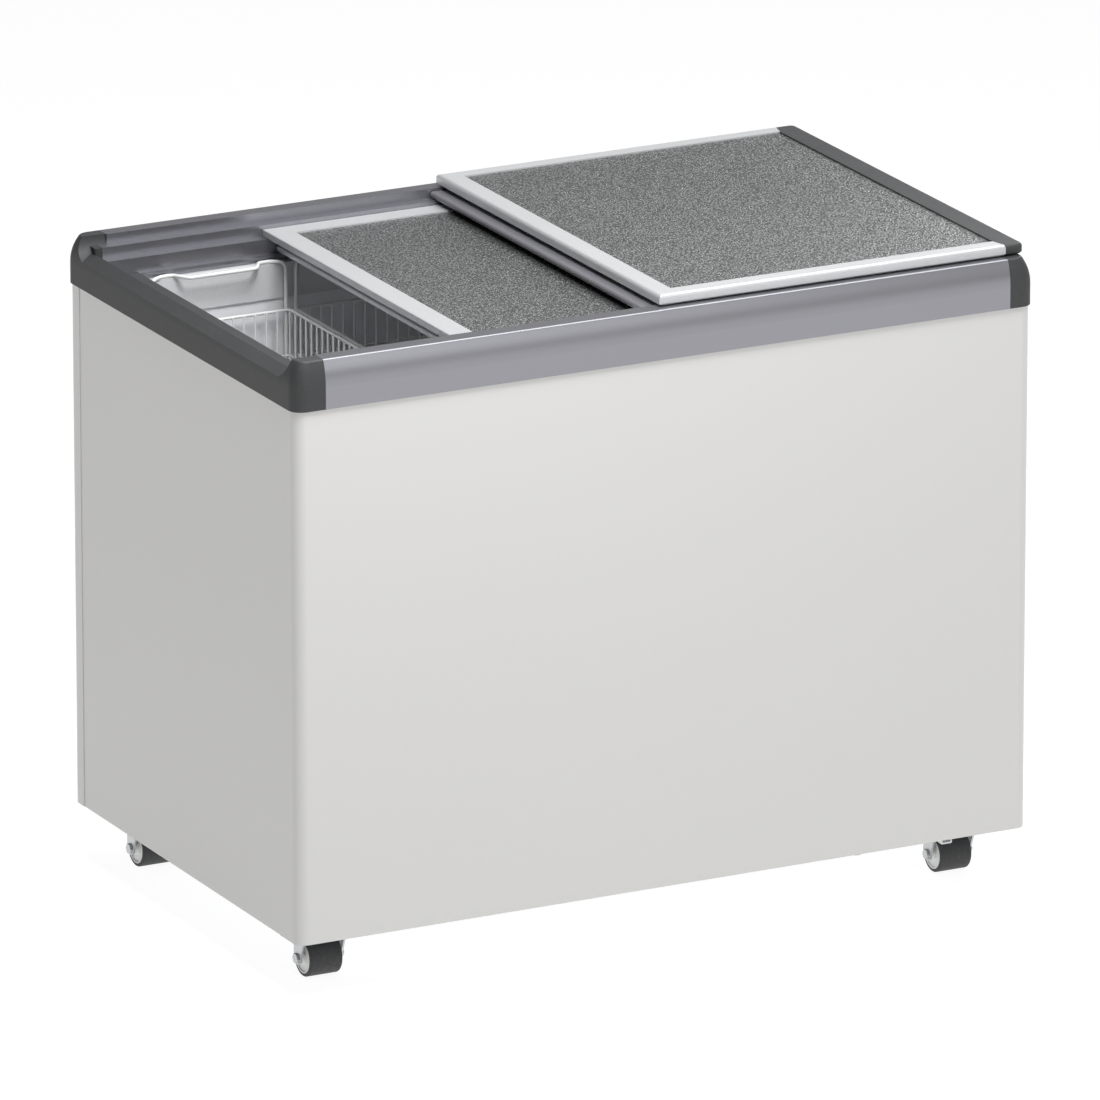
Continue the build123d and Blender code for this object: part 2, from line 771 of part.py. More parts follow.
mitre_x = upper_panel_right + upper_cap_tongue
stile_plan = (
    past((upper_panel_left, -upper_panel_y), (upper_lid_left, -upper_lid_half)),
    (upper_panel_left, -upper_panel_y),
    (upper_panel_left, upper_panel_y),
    past((upper_panel_left, upper_panel_y), (upper_lid_left, upper_lid_half)),
)
with BuildPart() as upper_lid_grip_stile:
    add(frame_piece(upper_form, stile_plan, upper_outer, upper_bottom, upper_top, upper_edge, lid_flange))
    with BuildSketch(Plane.XZ):
        with BuildLine():
            lip_left = upper_lid_left - grip_reach
            lip_top = upper_bottom - grip_height
            Polyline(
                (upper_web_x + lid_leg, upper_bottom + lid_root),
                (upper_web_x, upper_bottom + lid_root),
                (upper_web_x, lip_top + 2),
            )
            ThreePointArc(
                (upper_web_x, lip_top + 2), (upper_web_x - 0.6, lip_top + 0.6), (upper_web_x - 2, lip_top)
            )
            Line((upper_web_x - 2, lip_top), (lip_left + 4, lip_top))
            ThreePointArc((lip_left + 4, lip_top), (lip_left + 1.2, lip_top - 1.2), (lip_left, lip_top - 4))
            Polyline(
                (lip_left, lip_top - 4),
                (lip_left + 2, upper_foot_z + 0.8),
                (lip_left + 4, upper_foot_z),
                (upper_panel_left, upper_foot_z),
                (upper_panel_left, upper_foot_z + lid_foot_sheet),
                (upper_web_x + lid_leg, upper_foot_z + lid_foot_sheet),
                (upper_web_x + lid_leg, upper_bottom + lid_root),
            )
        make_face()
    extrude(amount=upper_leg_y, both=True)
save(upper_lid_grip_stile, "upper_lid_grip_stile")

rail_plan = (
    past((upper_panel_left, upper_panel_y), (upper_lid_left, upper_lid_half)),
    (upper_panel_left, upper_panel_y),
    (upper_panel_right, upper_panel_y),
    past((upper_panel_right, upper_panel_y), (mitre_x, upper_lid_half)),
)
with BuildPart() as upper_rail_back:
    add(frame_piece(upper_form, rail_plan, upper_outer, upper_bottom, upper_top, upper_edge, lid_flange))
    with BuildSketch(Plane.YZ.offset(upper_panel_left + contact_gap)):
        with BuildLine():
            Polyline(
                (upper_leg_y, upper_bottom + lid_root),
                (upper_leg_y, upper_foot_z),
                (upper_leg_y - lid_foot, upper_foot_z),
                (upper_leg_y - lid_foot, upper_foot_z + lid_foot_sheet),
                (upper_leg_y - lid_leg, upper_foot_z + lid_foot_sheet),
                (upper_leg_y - lid_leg, upper_bottom + lid_root),
                close=True,
            )
        make_face()
    extrude(amount=upper_panel_right - upper_panel_left - 2 * contact_gap)

with BuildPart() as upper_lid_rails:
    add(upper_rail_back.part)
    mirror(upper_rail_back.part, about=Plane.XZ)
save(upper_lid_rails, "upper_lid_rails")

cap_plan = (
    past((upper_panel_right, -upper_panel_y), (mitre_x, -upper_lid_half)),
    (upper_panel_right, -upper_panel_y),
    (upper_panel_right, upper_panel_y),
    past((upper_panel_right, upper_panel_y), (mitre_x, upper_lid_half)),
    (upper_lid_right + upper_rail, upper_lid_half + upper_rail),
    (upper_lid_right + upper_rail, -upper_lid_half - upper_rail),
)
with BuildPart() as upper_lid_end_cap:
    add(frame_piece(upper_form, cap_plan, upper_outer, upper_bottom, upper_top, upper_edge, lid_flange))
    with BuildSketch(Plane.XZ):
        with BuildLine():
            Polyline(
                (upper_skirt_x, upper_bottom + lid_root),
                (upper_skirt_x, upper_foot_z),
                (upper_panel_right, upper_foot_z),
                (upper_panel_right, upper_foot_z + lid_foot_sheet),
                (upper_skirt_x - lid_leg, upper_foot_z + lid_foot_sheet),
                (upper_skirt_x - lid_leg, upper_bottom + lid_root),
                close=True,
            )
        make_face()
    extrude(amount=upper_leg_y, both=True)
save(upper_lid_end_cap, "upper_lid_end_cap")

upper_inner_left = upper_web_x + lid_leg + contact_gap
upper_inner_right = upper_skirt_x - lid_leg - contact_gap
upper_inner_y = upper_leg_y - lid_leg - contact_gap
upper_panel_z = upper_flange_z - contact_gap
upper_skin_z = upper_foot_z + lid_foot_sheet + contact_gap
upper_lid_panel = slab(
    upper_inner_left, upper_inner_right, upper_inner_y, upper_panel_z - panel_sheet, upper_panel_z
)
save(upper_lid_panel, "upper_lid_panel")
upper_lid_skin = slab(
    upper_inner_left, upper_inner_right, upper_inner_y, upper_skin_z, upper_skin_z + panel_sheet
)
save(upper_lid_skin, "upper_lid_skin")
upper_lid_foam = slab(
    upper_inner_left,
    upper_inner_right,
    upper_inner_y,
    upper_skin_z + panel_sheet + contact_gap,
    upper_panel_z - panel_sheet - contact_gap,
)
save(upper_lid_foam, "upper_lid_foam")

# ------------------------------------------------------------------ lower lid
lower_bottom = lower_ledge_z + lid_gap
lower_top = lower_bottom + lower_lid_thickness
lower_right = lower_lid_left + lower_lid_length
lower_half = upper_ledge_y - lower_lid_side_gap
lower_body_y = lower_ledge_y - lower_body_gap
lower_body_z = lower_bottom - lower_lid_hang
lower_body_left = lower_lid_left + lower_recess
lower_body_right = lower_right - lower_recess
lower_panel_left = lower_lid_left + lower_stile
lower_panel_right = lower_right - lower_stile
lower_panel_y = lower_half - lower_rail
lower_flange_z = lower_top - lid_flange

lower_outer = (lower_lid_left, lower_right, lower_half)
lower_form = frame_form(
    lower_outer,
    (lower_body_left + lid_leg, lower_body_right - lid_leg, lower_body_y - lid_leg),
    (lower_panel_left, lower_panel_right, lower_panel_y),
    lower_bottom,
    lower_top,
)

lower_stile_plan = (
    past((lower_panel_left, -lower_panel_y), (lower_lid_left, -lower_half)),
    (lower_panel_left, -lower_panel_y),
    (lower_panel_left, lower_panel_y),
    past((lower_panel_left, lower_panel_y), (lower_lid_left, lower_half)),
)
with BuildPart() as lower_stile_left:
    add(frame_piece(lower_form, lower_stile_plan, lower_outer, lower_bottom, lower_top, lower_edge, lower_edge / 2))
    with BuildSketch(Plane.XZ):
        with BuildLine():
            Polyline(
                (lower_body_left + lid_leg, lower_bottom + lid_root),
                (lower_body_left, lower_bottom + lid_root),
                (lower_body_left, lower_body_z + lower_lip_height),
                (lower_body_left - lower_lip + 1, lower_body_z + lower_lip_height),
                (lower_body_left - lower_lip, lower_body_z + lower_lip_height - 1),
                (lower_body_left - lower_lip, lower_body_z + 1),
                (lower_body_left - lower_lip + 1, lower_body_z),
                (lower_body_left + lid_foot, lower_body_z),
                (lower_body_left + lid_foot, lower_body_z + lid_foot_sheet),
                (lower_body_left + lid_leg, lower_body_z + lid_foot_sheet),
                close=True,
            )
        make_face()
    extrude(amount=lower_body_y, both=True)

lower_middle = Plane.YZ.offset((lower_lid_left + lower_right) / 2)
with BuildPart() as lower_lid_stiles:
    add(lower_stile_left.part)
    mirror(lower_stile_left.part, about=lower_middle)
save(lower_lid_stiles, "lower_lid_stiles")

lower_rail_start = lower_body_left + lid_foot + contact_gap
lower_rail_plan = (
    past((lower_panel_left, lower_panel_y), (lower_lid_left, lower_half)),
    (lower_panel_left, lower_panel_y),
    (lower_panel_right, lower_panel_y),
    past((lower_panel_right, lower_panel_y), (lower_right, lower_half)),
)
with BuildPart() as lower_rail_back:
    add(frame_piece(lower_form, lower_rail_plan, lower_outer, lower_bottom, lower_top, lower_edge, lower_edge / 2))
    with BuildSketch(Plane.YZ.offset(lower_rail_start)):
        with BuildLine():
            Polyline(
                (lower_body_y, lower_bottom + lid_root),
                (lower_body_y, lower_body_z),
                (lower_body_y - lid_foot, lower_body_z),
                (lower_body_y - lid_foot, lower_body_z + lid_foot_sheet),
                (lower_body_y - lid_leg, lower_body_z + lid_foot_sheet),
                (lower_body_y - lid_leg, lower_bottom + lid_root),
                close=True,
            )
        make_face()
    extrude(amount=lower_body_right - lid_foot - contact_gap - lower_rail_start)

with BuildPart() as lower_lid_rails:
    add(lower_rail_back.part)
    mirror(lower_rail_back.part, about=Plane.XZ)
save(lower_lid_rails, "lower_lid_rails")

lower_inner_left = lower_body_left + lid_leg + contact_gap
lower_inner_right = lower_body_right - lid_leg - contact_gap
lower_inner_y = lower_body_y - lid_leg - contact_gap
lower_panel_z = lower_flange_z - contact_gap
lower_skin_z = lower_body_z + lid_foot_sheet + contact_gap
lower_lid_panel = slab(
    lower_inner_left, lower_inner_right, lower_inner_y, lower_panel_z - panel_sheet, lower_panel_z
)
save(lower_lid_panel, "lower_lid_panel")
lower_lid_skin = slab(
    lower_inner_left, lower_inner_right, lower_inner_y, lower_skin_z, lower_skin_z + panel_sheet
)
save(lower_lid_skin, "lower_lid_skin")
lower_lid_foam = slab(
    lower_inner_left,
    lower_inner_right,
    lower_inner_y,
    lower_skin_z + panel_sheet + contact_gap,
    lower_panel_z - panel_sheet - contact_gap,
)
save(lower_lid_foam, "lower_lid_foam")

# ------------------------------------------------------------------ baskets
rim_half_w = basket_width / 2 - basket_rim_wire / 2
rim_half_l = basket_length / 2 - basket_rim_wire / 2
mesh_inset = basket_rim_wire / 2 + basket_wire / 2 + contact_gap
basket_floor = basket_rim_z - basket_height
mesh_w = rim_half_w - mesh_inset
mesh_l = rim_half_l - mesh_inset


def wire_places(half_width):
    """Places of the mesh wires across a wall or floor, with one wire at its middle."""
    steps = int((half_width - basket_corner / 2) // basket_mesh)
    return [step * basket_mesh for step in range(-steps, steps + 1)]


def mesh_wall(plane, half_width):
    """Welded wall of upright wires with level bands on its outer face, in an upright plane."""
    with BuildPart() as wall:
        for place in wire_places(half_width):
            foot = plane.from_local_coords((place, basket_floor + basket_wire, 0))
            with BuildSketch(Plane(origin=foot, z_dir=(0, 0, 1))):
                Circle(basket_wire / 2)
            extrude(amount=basket_height - basket_wire + basket_rim_wire / 4)
        for drop in (*basket_bands, basket_height - 2 * basket_wire):
            start = plane.from_local_coords(
                (-half_width + basket_wire, basket_rim_z - drop, basket_wire - weld)
            )
            with BuildSketch(Plane(origin=start, z_dir=plane.x_dir)):
                Circle(basket_wire / 2)
            extrude(amount=2 * (half_width - basket_wire))
    return wall.part


def basket(left):
    """Frame, end walls, side walls and floor of one basket, hanging by its two end handles."""
    middle = left + basket_width / 2
    with BuildSketch(Plane.XY.offset(basket_rim_z)) as rim_plan:
        with Locations((middle, 0)):
            RectangleRounded(2 * rim_half_w, 2 * rim_half_l, basket_corner)
    rim_path = rim_plan.sketch.wires()[0]
    with BuildPart() as frame:
        with BuildSketch(Plane(origin=rim_path @ 0, z_dir=rim_path % 0)):
            Circle(basket_rim_wire / 2)
        sweep(path=rim_path)
        leg_x = rim_half_w - handle_inset
        leg_y = rim_half_l + basket_rim_wire / 2 + handle_wire / 2 + contact_gap
        top = basket_ledge_z + handle_wire / 2 + contact_gap
        for side in (-1, 1):
            half = (
                (leg_x, leg_y, basket_rim_z - handle_foot),
                (leg_x, leg_y, top),
                (leg_x - 2 * handle_bend, leg_y + handle_out, top),
                (leg_x - handle_shoulder, leg_y + handle_out, top),
                (leg_x - handle_shoulder - handle_ramp, leg_y + handle_out - handle_jog, top),
            )
            right = [(middle + x, side * y, z) for x, y, z in half]
            other = [(middle - x, side * y, z) for x, y, z in reversed(half)]
            add(bent_rod(right + other, handle_bend / 2, handle_wire / 2))
    with BuildPart() as end_walls:
        for side in (-1, 1):
            end = Plane(origin=(middle, side * mesh_l, 0), x_dir=(-side, 0, 0), z_dir=(0, side, 0))
            add(mesh_wall(end, mesh_w))
    with BuildPart() as side_walls:
        for side in (-1, 1):
            flank = Plane(origin=(middle + side * mesh_w, 0, 0), x_dir=(0, side, 0), z_dir=(side, 0, 0))
            add(mesh_wall(flank, mesh_l))
    with BuildPart() as floor:
        for rod_y in wire_places(mesh_l):
            with BuildSketch(Plane.YZ.offset(middle - mesh_w)):
                with Locations((rod_y, basket_floor + basket_wire / 2)):
                    Circle(basket_wire / 2)
            extrude(amount=2 * mesh_w)
        for rib_x in wire_places(mesh_w)[1::2]:
            with BuildSketch(Plane.XZ.offset(-mesh_l)):
                with Locations((middle + rib_x, basket_floor - basket_wire / 2 + weld)):
                    Circle(basket_wire / 2)
            extrude(amount=2 * mesh_l)
    return frame, end_walls, side_walls, floor


for index in (0, 1):
    pieces = basket(basket_left + index * basket_pitch)
    for piece, kind in zip(pieces, ("frame", "end_walls", "side_walls", "floor")):
        save(piece, f"basket_{index + 1}_{kind}")

# ------------------------------------------------------------------ casters
plate_bottom = base_height - plate_sheet
crown_top = fork_crown_z + fork_sheet
fork_inner = wheel_width / 2 + fork_gap
fork_outer = fork_inner + fork_sheet

with BuildPart() as caster_plates:
    with BuildSketch(Plane.XY.offset(plate_bottom)):
        with Locations(*caster_points.values()):
            RectangleRounded(plate_size, plate_size, 6)
            with GridLocations(mount_bolt_spacing, mount_bolt_spacing, 2, 2):
                Circle(mount_bolt_radius + running_gap, mode=Mode.SUBTRACT)
    extrude(amount=plate_sheet - contact_gap)
    for radius, bottom, top in (
        (race_radius, crown_top + turn_gap, plate_bottom),
        (kingpin_radius, fork_crown_z - turn_gap, plate_bottom),
        (kingpin_radius + 2.5, fork_crown_z - turn_gap - 2.5, fork_crown_z - turn_gap),
    ):
        with BuildSketch(Plane.XY.offset(bottom)):
            with Locations(*caster_points.values()):
                Circle(radius)
        extrude(amount=top - bottom)
save(caster_plates, "caster_plates")

with BuildPart() as caster_bolts:
    for radius, bottom, top in (
        (mount_bolt_radius, plate_bottom, tray_top),
        (mount_bolt_radius, plate_bottom - contact_gap, plate_bottom),
    ):
        with BuildSketch(Plane.XY.offset(bottom)):
            with Locations(*caster_points.values()):
                with GridLocations(mount_bolt_spacing, mount_bolt_spacing, 2, 2):
                    Circle(radius)
        extrude(amount=top - bottom)
    with BuildSketch(Plane.XY.offset(plate_bottom - contact_gap)):
        with Locations(*caster_points.values()):
            with GridLocations(mount_bolt_spacing, mount_bolt_spacing, 2, 2):
                RegularPolygon(mount_bolt_head, 6)
    extrude(amount=-bolt_head_height)
save(caster_bolts, "caster_bolts")


def caster(point):
    """Fork with its axle bolt, hub and tyre of one caster, trailing to the back of its kingpin."""
    x, y = point
    axle_y = y + caster_trail
    with BuildPart() as fork:
        with BuildSketch(Plane.YZ.offset(x)):
            with BuildLine():
                Polyline(
                    (axle_y + fork_eye, wheel_radius),
                    (axle_y + fork_top_back, crown_top),
                    (axle_y - fork_top_front, crown_top),
                    (axle_y - fork_eye, wheel_radius),
                )
                ThreePointArc(
                    (axle_y - fork_eye, wheel_radius),
                    (axle_y, wheel_radius - fork_eye),
                    (axle_y + fork_eye, wheel_radius),
                )
            make_face()
        extrude(amount=fork_outer, both=True)
        with BuildSketch(Plane.YZ.offset(x)):
            with Locations((axle_y, 0)):
                Rectangle(6 * wheel_radius, fork_crown_z, align=(Align.CENTER, Align.MIN))
        extrude(amount=fork_inner, both=True, mode=Mode.SUBTRACT)
        with BuildSketch(Plane.XY.offset(fork_crown_z)):
            with Locations((x, y)):
                Circle(race_radius)
        extrude(amount=fork_sheet)
        with BuildSketch(Plane.XY.offset(fork_crown_z - 1)):
            with Locations((x, y)):
                Circle(kingpin_radius + running_gap)
        extrude(amount=fork_sheet + 2, mode=Mode.SUBTRACT)
        with BuildSketch(Plane.YZ.offset(x)):
            with Locations((axle_y, wheel_radius)):
                Circle(axle_radius + running_gap)
        extrude(amount=fork_outer + 1, both=True, mode=Mode.SUBTRACT)
        with BuildSketch(Plane.YZ.offset(x)):
            with Locations((axle_y, wheel_radius)):
                Circle(axle_radius)
        extrude(amount=fork_outer + contact_gap, both=True)
        for side in (-1, 1):
            with BuildSketch(Plane.YZ.offset(x + side * (fork_outer + contact_gap))):
                with Locations((axle_y, wheel_radius)):
                    RegularPolygon(axle_head, 6)
            extrude(amount=side * bolt_head_height)
    with BuildPart() as hub:
        for radius, half_width in (
            (wheel_radius - tyre_thickness, wheel_width / 2),
            (boss_radius, wheel_width / 2 + boss_reach),
        ):
            with BuildSketch(Plane.YZ.offset(x)):
                with Locations((axle_y, wheel_radius)):
                    Circle(radius)
            extrude(amount=half_width, both=True)
        for side in (-1, 1):
            with BuildSketch(Plane.YZ.offset(x + side * wheel_width / 2)):
                with Locations((axle_y, wheel_radius)):
                    Circle(wheel_radius - tyre_thickness - hub_recess)
                    Circle(boss_radius, mode=Mode.SUBTRACT)
            extrude(amount=-side * hub_recess, mode=Mode.SUBTRACT)
        with BuildSketch(Plane.YZ.offset(x)):
            with Locations((axle_y, wheel_radius)):
                Circle(axle_radius + running_gap)
        extrude(amount=wheel_width, both=True, mode=Mode.SUBTRACT)
    with BuildPart() as tyre:
        with BuildSketch(Plane.YZ.offset(x)):
            with Locations((axle_y, wheel_radius)):
                Circle(wheel_radius)
                Circle(wheel_radius - tyre_thickness, mode=Mode.SUBTRACT)
        extrude(amount=wheel_width / 2, both=True)
        treads = tyre.edges().filter_by(GeomType.CIRCLE).filter_by(
            lambda edge: abs(edge.radius - wheel_radius) < 0.01
        )
        fillet(treads, tyre_thickness / 2)
    return fork, hub, tyre


for corner, point in caster_points.items():
    for piece, kind in zip(caster(point), ("fork", "hub", "tyre")):
        save(piece, f"caster_{corner}_{kind}")

# ------------------------------------------------------------------ machine compartment
pocket_top = grille_height / 2 - grille_overlap - pocket_drop
pocket_mid = pocket_top - pocket_height / 2
grille_face = behind_back.offset(contact_gap)
slots_mid = (-grille_height / 2 + grille_overlap + pocket_mid - pocket_height / 2) / 2

with BuildPart() as compressor_grille:
    with BuildSketch(grille_face):
        RectangleRounded(grille_width, grille_height, 4)
        with GridLocations(2 * screw_x, 2 * screw_z, 2, 2):
            Circle(screw_radius + running_gap, mode=Mode.SUBTRACT)
        with Locations((0, slots_mid)):
            with GridLocations(0, slot_pitch, 1, grille_slots):
                SlotOverall(grille_width - 4 * grille_overlap, slot_height, mode=Mode.SUBTRACT)
        with Locations((0, pocket_mid)):
            Rectangle(pocket_width, pocket_height, mode=Mode.SUBTRACT)
    extrude(amount=grille_sheet)
save(compressor_grille, "compressor_grille")

with BuildPart() as grille_screws:
    with BuildSketch(grille_face.offset(grille_sheet + contact_gap)):
        with GridLocations(2 * screw_x, 2 * screw_z, 2, 2):
            Circle(screw_head)
    extrude(amount=screw_head_height)
    with BuildSketch(grille_face.offset(grille_sheet + contact_gap)):
        with GridLocations(2 * screw_x, 2 * screw_z, 2, 2):
            Circle(screw_radius - running_gap)
    extrude(amount=-screw_length)
save(grille_screws, "grille_screws")

pocket_plane = behind_back.offset(-pocket_depth)
knob_at = (-pocket_width / 4, pocket_mid)
inlet_at = (pocket_width / 4, pocket_mid)
with BuildPart() as control_pocket:
    with BuildSketch(pocket_plane):
        with Locations((0, pocket_mid)):
            Rectangle(pocket_width - 2 * contact_gap, pocket_height - 2 * contact_gap)
    extrude(amount=pocket_depth - contact_gap)
    with BuildSketch(pocket_plane.offset(pocket_depth - pocket_wall)):
        with Locations((0, pocket_mid)):
            Rectangle(pocket_width + 2 * pocket_lip, pocket_height + 2 * pocket_lip)
    extrude(amount=pocket_wall - contact_gap)
    with BuildSketch(pocket_plane.offset(pocket_wall)):
        with Locations((0, pocket_mid)):
            Rectangle(pocket_width - 2 * pocket_wall, pocket_height - 2 * pocket_wall)
    extrude(amount=pocket_depth, mode=Mode.SUBTRACT)
    with BuildSketch(pocket_plane.offset(-1)):
        with Locations(knob_at):
            Circle(spindle_radius + turn_gap)
        with Locations(inlet_at):
            Rectangle(inlet_width + 2 * contact_gap, inlet_height + 2 * contact_gap)
    extrude(amount=pocket_wall + 2, mode=Mode.SUBTRACT)
save(control_pocket, "control_pocket")

with BuildPart() as thermostat:
    with BuildSketch(pocket_plane.offset(-contact_gap)):
        with Locations(knob_at):
            RectangleRounded(thermostat_width, thermostat_height, pocket_lip)
    extrude(amount=-thermostat_depth)
save(thermostat, "thermostat")

with BuildPart() as thermostat_knob:
    with BuildSketch(pocket_plane.offset(pocket_wall + knob_stand_off)):
        with Locations(knob_at):
            Circle(knob_radius)
    extrude(amount=knob_height)
    top_rim = thermostat_knob.edges().filter_by(GeomType.CIRCLE).sort_by(Axis.Y)[-1]
    fillet(top_rim, knob_edge)
    with BuildSketch(pocket_plane.offset(pocket_wall + knob_stand_off + knob_height - knob_bar_height)):
        for side in (-1, 1):
            with Locations((knob_at[0] + side * knob_radius * (knob_bar + 0.5), knob_at[1])):
                Rectangle(knob_radius, 2.5 * knob_radius)
    extrude(amount=2 * knob_bar_height, mode=Mode.SUBTRACT)
    with BuildSketch(pocket_plane.offset(turn_gap)):
        with Locations(knob_at):
            Circle(spindle_radius)
    extrude(amount=pocket_wall + knob_stand_off + knob_edge)
save(thermostat_knob, "thermostat_knob")

with BuildPart() as power_inlet:
    with BuildSketch(pocket_plane.offset(-inlet_depth + pocket_wall)):
        with Locations(inlet_at):
            Rectangle(inlet_width, inlet_height)
    extrude(amount=inlet_depth + contact_gap)
    with BuildSketch(pocket_plane.offset(pocket_wall + contact_gap)):
        with Locations(inlet_at):
            RectangleRounded(inlet_width + 2 * inlet_lip, inlet_height + 2 * inlet_lip, inlet_wall)
    extrude(amount=2)
    with BuildSketch(pocket_plane.offset(-inlet_depth + pocket_wall + inlet_wall)):
        with Locations(inlet_at):
            Rectangle(inlet_width - 2 * inlet_wall, inlet_height - 2 * inlet_wall)
    extrude(amount=inlet_depth + 2, mode=Mode.SUBTRACT)
save(power_inlet, "power_inlet")

with BuildPart() as inlet_pins:
    with BuildSketch(pocket_plane.offset(-inlet_depth + pocket_wall + inlet_wall)):
        for dx, dy in pin_places:
            with Locations((inlet_at[0] + dx, inlet_at[1] + dy)):
                Rectangle(pin_sheet, pin_width)
    extrude(amount=pin_length)
save(inlet_pins, "inlet_pins")

can_x = machine_x + machine_width / 2
can_y = half_y - can_inset
can_z = tray_top + contact_gap + grommet_height
foot_x = can_radius + 6
foot_y = can_radius - 16
feet = [(can_x + sx * foot_x, can_y + sy * foot_y) for sx in (-1, 1) for sy in (-1, 1)]
with BuildPart() as compressor:
    with BuildSketch(Plane.XZ.offset(-can_y)):
        with BuildLine():
            Line((can_x, can_z), (can_x + can_radius * 0.6, can_z))
            Spline(
                (can_x + can_radius * 0.6, can_z),
                (can_x + can_radius, can_z + can_dome),
                tangents=((1, 0), (0, 1)),
            )
            Line((can_x + can_radius, can_z + can_dome), (can_x + can_radius, can_z + can_height))
            Spline(
                (can_x + can_radius, can_z + can_height),
                (can_x, can_z + can_height + 1.4 * can_dome),
                tangents=((0, 1), (-1, 0)),
            )
            Line((can_x, can_z + can_height + 1.4 * can_dome), (can_x, can_z))
        make_face()
    revolve(axis=Axis((can_x, can_y, 0), (0, 0, 1)))
    with BuildSketch(Plane.XY.offset(can_z)):
        with Locations((can_x, can_y)):
            RectangleRounded(2 * foot_x + 26, 2 * foot_y + 26, 13)
    extrude(amount=3)
save(compressor, "compressor")

with BuildPart() as compressor_grommets:
    with BuildSketch(Plane.XY.offset(tray_top)):
        with Locations(*feet):
            Circle(grommet_radius)
    extrude(amount=grommet_height)
save(compressor_grommets, "compressor_grommets")

drier_y = can_y - can_radius - 60.0
drier_z = tray_top + 150.0
with BuildPart() as filter_drier:
    with BuildSketch(Plane.YZ.offset(can_x - drier_length / 2)):
        with Locations((drier_y, drier_z)):
            Circle(drier_radius)
    extrude(amount=drier_length)
    fillet(filter_drier.edges().filter_by(GeomType.CIRCLE), drier_radius / 2)
save(filter_drier, "filter_drier")

with BuildPart() as refrigerant_pipes:
    add(
        bent_rod(
            [
                (can_x - drier_length / 2 - contact_gap, drier_y, drier_z),
                (machine_x + 20, drier_y, drier_z),
                (machine_x + 20, drier_y, machine_top - 12),
                (machine_x + 20, half_y - 60, machine_top - 12),
            ],
            12,
            pipe_radius,
        )
    )
    add(
        bent_rod(
            [
                (can_x + drier_length / 2 + contact_gap, drier_y, drier_z),
                (can_x + can_radius + 30, drier_y, drier_z),
                (can_x + can_radius + 30, can_y, drier_z - 60),
                (can_x + can_radius + contact_gap, can_y, drier_z - 60),
            ],
            12,
            pipe_radius,
        )
    )
save(refrigerant_pipes, "refrigerant_pipes")

# ------------------------------------------------------------------ fittings under the base
with BuildPart() as drain_plug:
    with BuildSketch(Plane.XY.offset(base_height - plug_head)):
        with Locations((plug_x, plug_y)):
            Circle(plug_radius + 2)
    extrude(amount=plug_head - contact_gap)
    with BuildSketch(Plane.XY.offset(base_height - contact_gap)):
        with Locations((plug_x, plug_y)):
            Circle(plug_radius)
    extrude(amount=tray_sheet + 3)
save(drain_plug, "drain_plug")

with BuildPart() as base_bracket:
    bracket_bottom = base_height - bracket_drop
    with BuildSketch(Plane.XZ.offset(-bracket_y)):
        with Locations((bracket_x, base_height - contact_gap)):
            Rectangle(bracket_width, bracket_drop - contact_gap, align=(Align.CENTER, Align.MAX))
        with Locations((bracket_x, base_height - contact_gap)):
            Rectangle(
                bracket_width - 2 * bracket_sheet,
                bracket_drop - contact_gap - bracket_sheet,
                align=(Align.CENTER, Align.MAX),
                mode=Mode.SUBTRACT,
            )
    extrude(amount=bracket_depth / 2, both=True)
    bottoms = base_bracket.edges().filter_by(Axis.Y).filter_by(
        lambda edge: abs(edge.center().Z - bracket_bottom) < 0.2
    )
    fillet(bottoms, bracket_sheet * 0.9)
save(base_bracket, "base_bracket")
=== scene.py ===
"""Looks of an ice cream dipping cabinet: its finishes, bent-wire baskets and a plain studio."""

import math

import bmesh
import bpy
from bpy.props import FloatProperty, FloatVectorProperty, PointerProperty
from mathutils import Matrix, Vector


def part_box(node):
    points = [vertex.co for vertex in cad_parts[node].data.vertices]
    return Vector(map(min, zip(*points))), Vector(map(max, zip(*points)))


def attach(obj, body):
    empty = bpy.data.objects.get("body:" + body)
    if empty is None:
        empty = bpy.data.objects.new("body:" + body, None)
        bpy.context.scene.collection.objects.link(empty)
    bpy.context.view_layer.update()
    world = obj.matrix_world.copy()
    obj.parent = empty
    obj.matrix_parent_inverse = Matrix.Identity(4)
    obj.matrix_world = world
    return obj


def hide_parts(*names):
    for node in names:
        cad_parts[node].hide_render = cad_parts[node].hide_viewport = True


bl_info = {
    "name": "Ice Cream Cabinet",
    "version": (1, 0, 0),
    "blender": (4, 2, 0),
    "location": "3D View > Sidebar > Cabinet",
    "description": "Builds the finishes, baskets and studio of an ice cream dipping cabinet",
    "category": "Object",
}

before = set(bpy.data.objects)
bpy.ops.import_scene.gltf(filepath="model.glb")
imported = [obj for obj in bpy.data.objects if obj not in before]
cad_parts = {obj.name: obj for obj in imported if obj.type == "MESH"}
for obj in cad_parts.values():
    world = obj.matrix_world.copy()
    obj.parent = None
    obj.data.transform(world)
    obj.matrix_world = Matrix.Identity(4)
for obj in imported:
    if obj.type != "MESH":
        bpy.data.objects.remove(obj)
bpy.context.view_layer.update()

ALONG_X = (3.0, 1500.0, 1500.0)  # drawing lines' noise scale along each axis, for a profile along X
ALONG_Y = (1500.0, 3.0, 1500.0)
LINE_AMOUNT = 0.22  # strength of the drawing lines' shade
LINE_SHADE = 0.86  # brightness of a drawing line against the profile
LIP_BLUR = 0.0008  # half the height over which the grip stile's lip changes colour
STUCCO_PAINTED_SHADE = 0.62  # painted shade: brightness of the emboss's valleys against its tint, standing in for shade between the pebbles
STUCCO_PAINTED_HIGHLIGHT = 1.6  # painted highlight: brightness of the emboss's crowns against its tint, standing in for light on the pebble tops
STUCCO_DEPTH = 0.0007
GRAIN_GAIN = 1.18  # how much paler the tops of moulded grain are
GRAIN_LIFT = 0.004  # paleness added to them as well, so that black grain shows
MOST_OF_HALF = 0.49  # share of a straight run that one of its bends may take
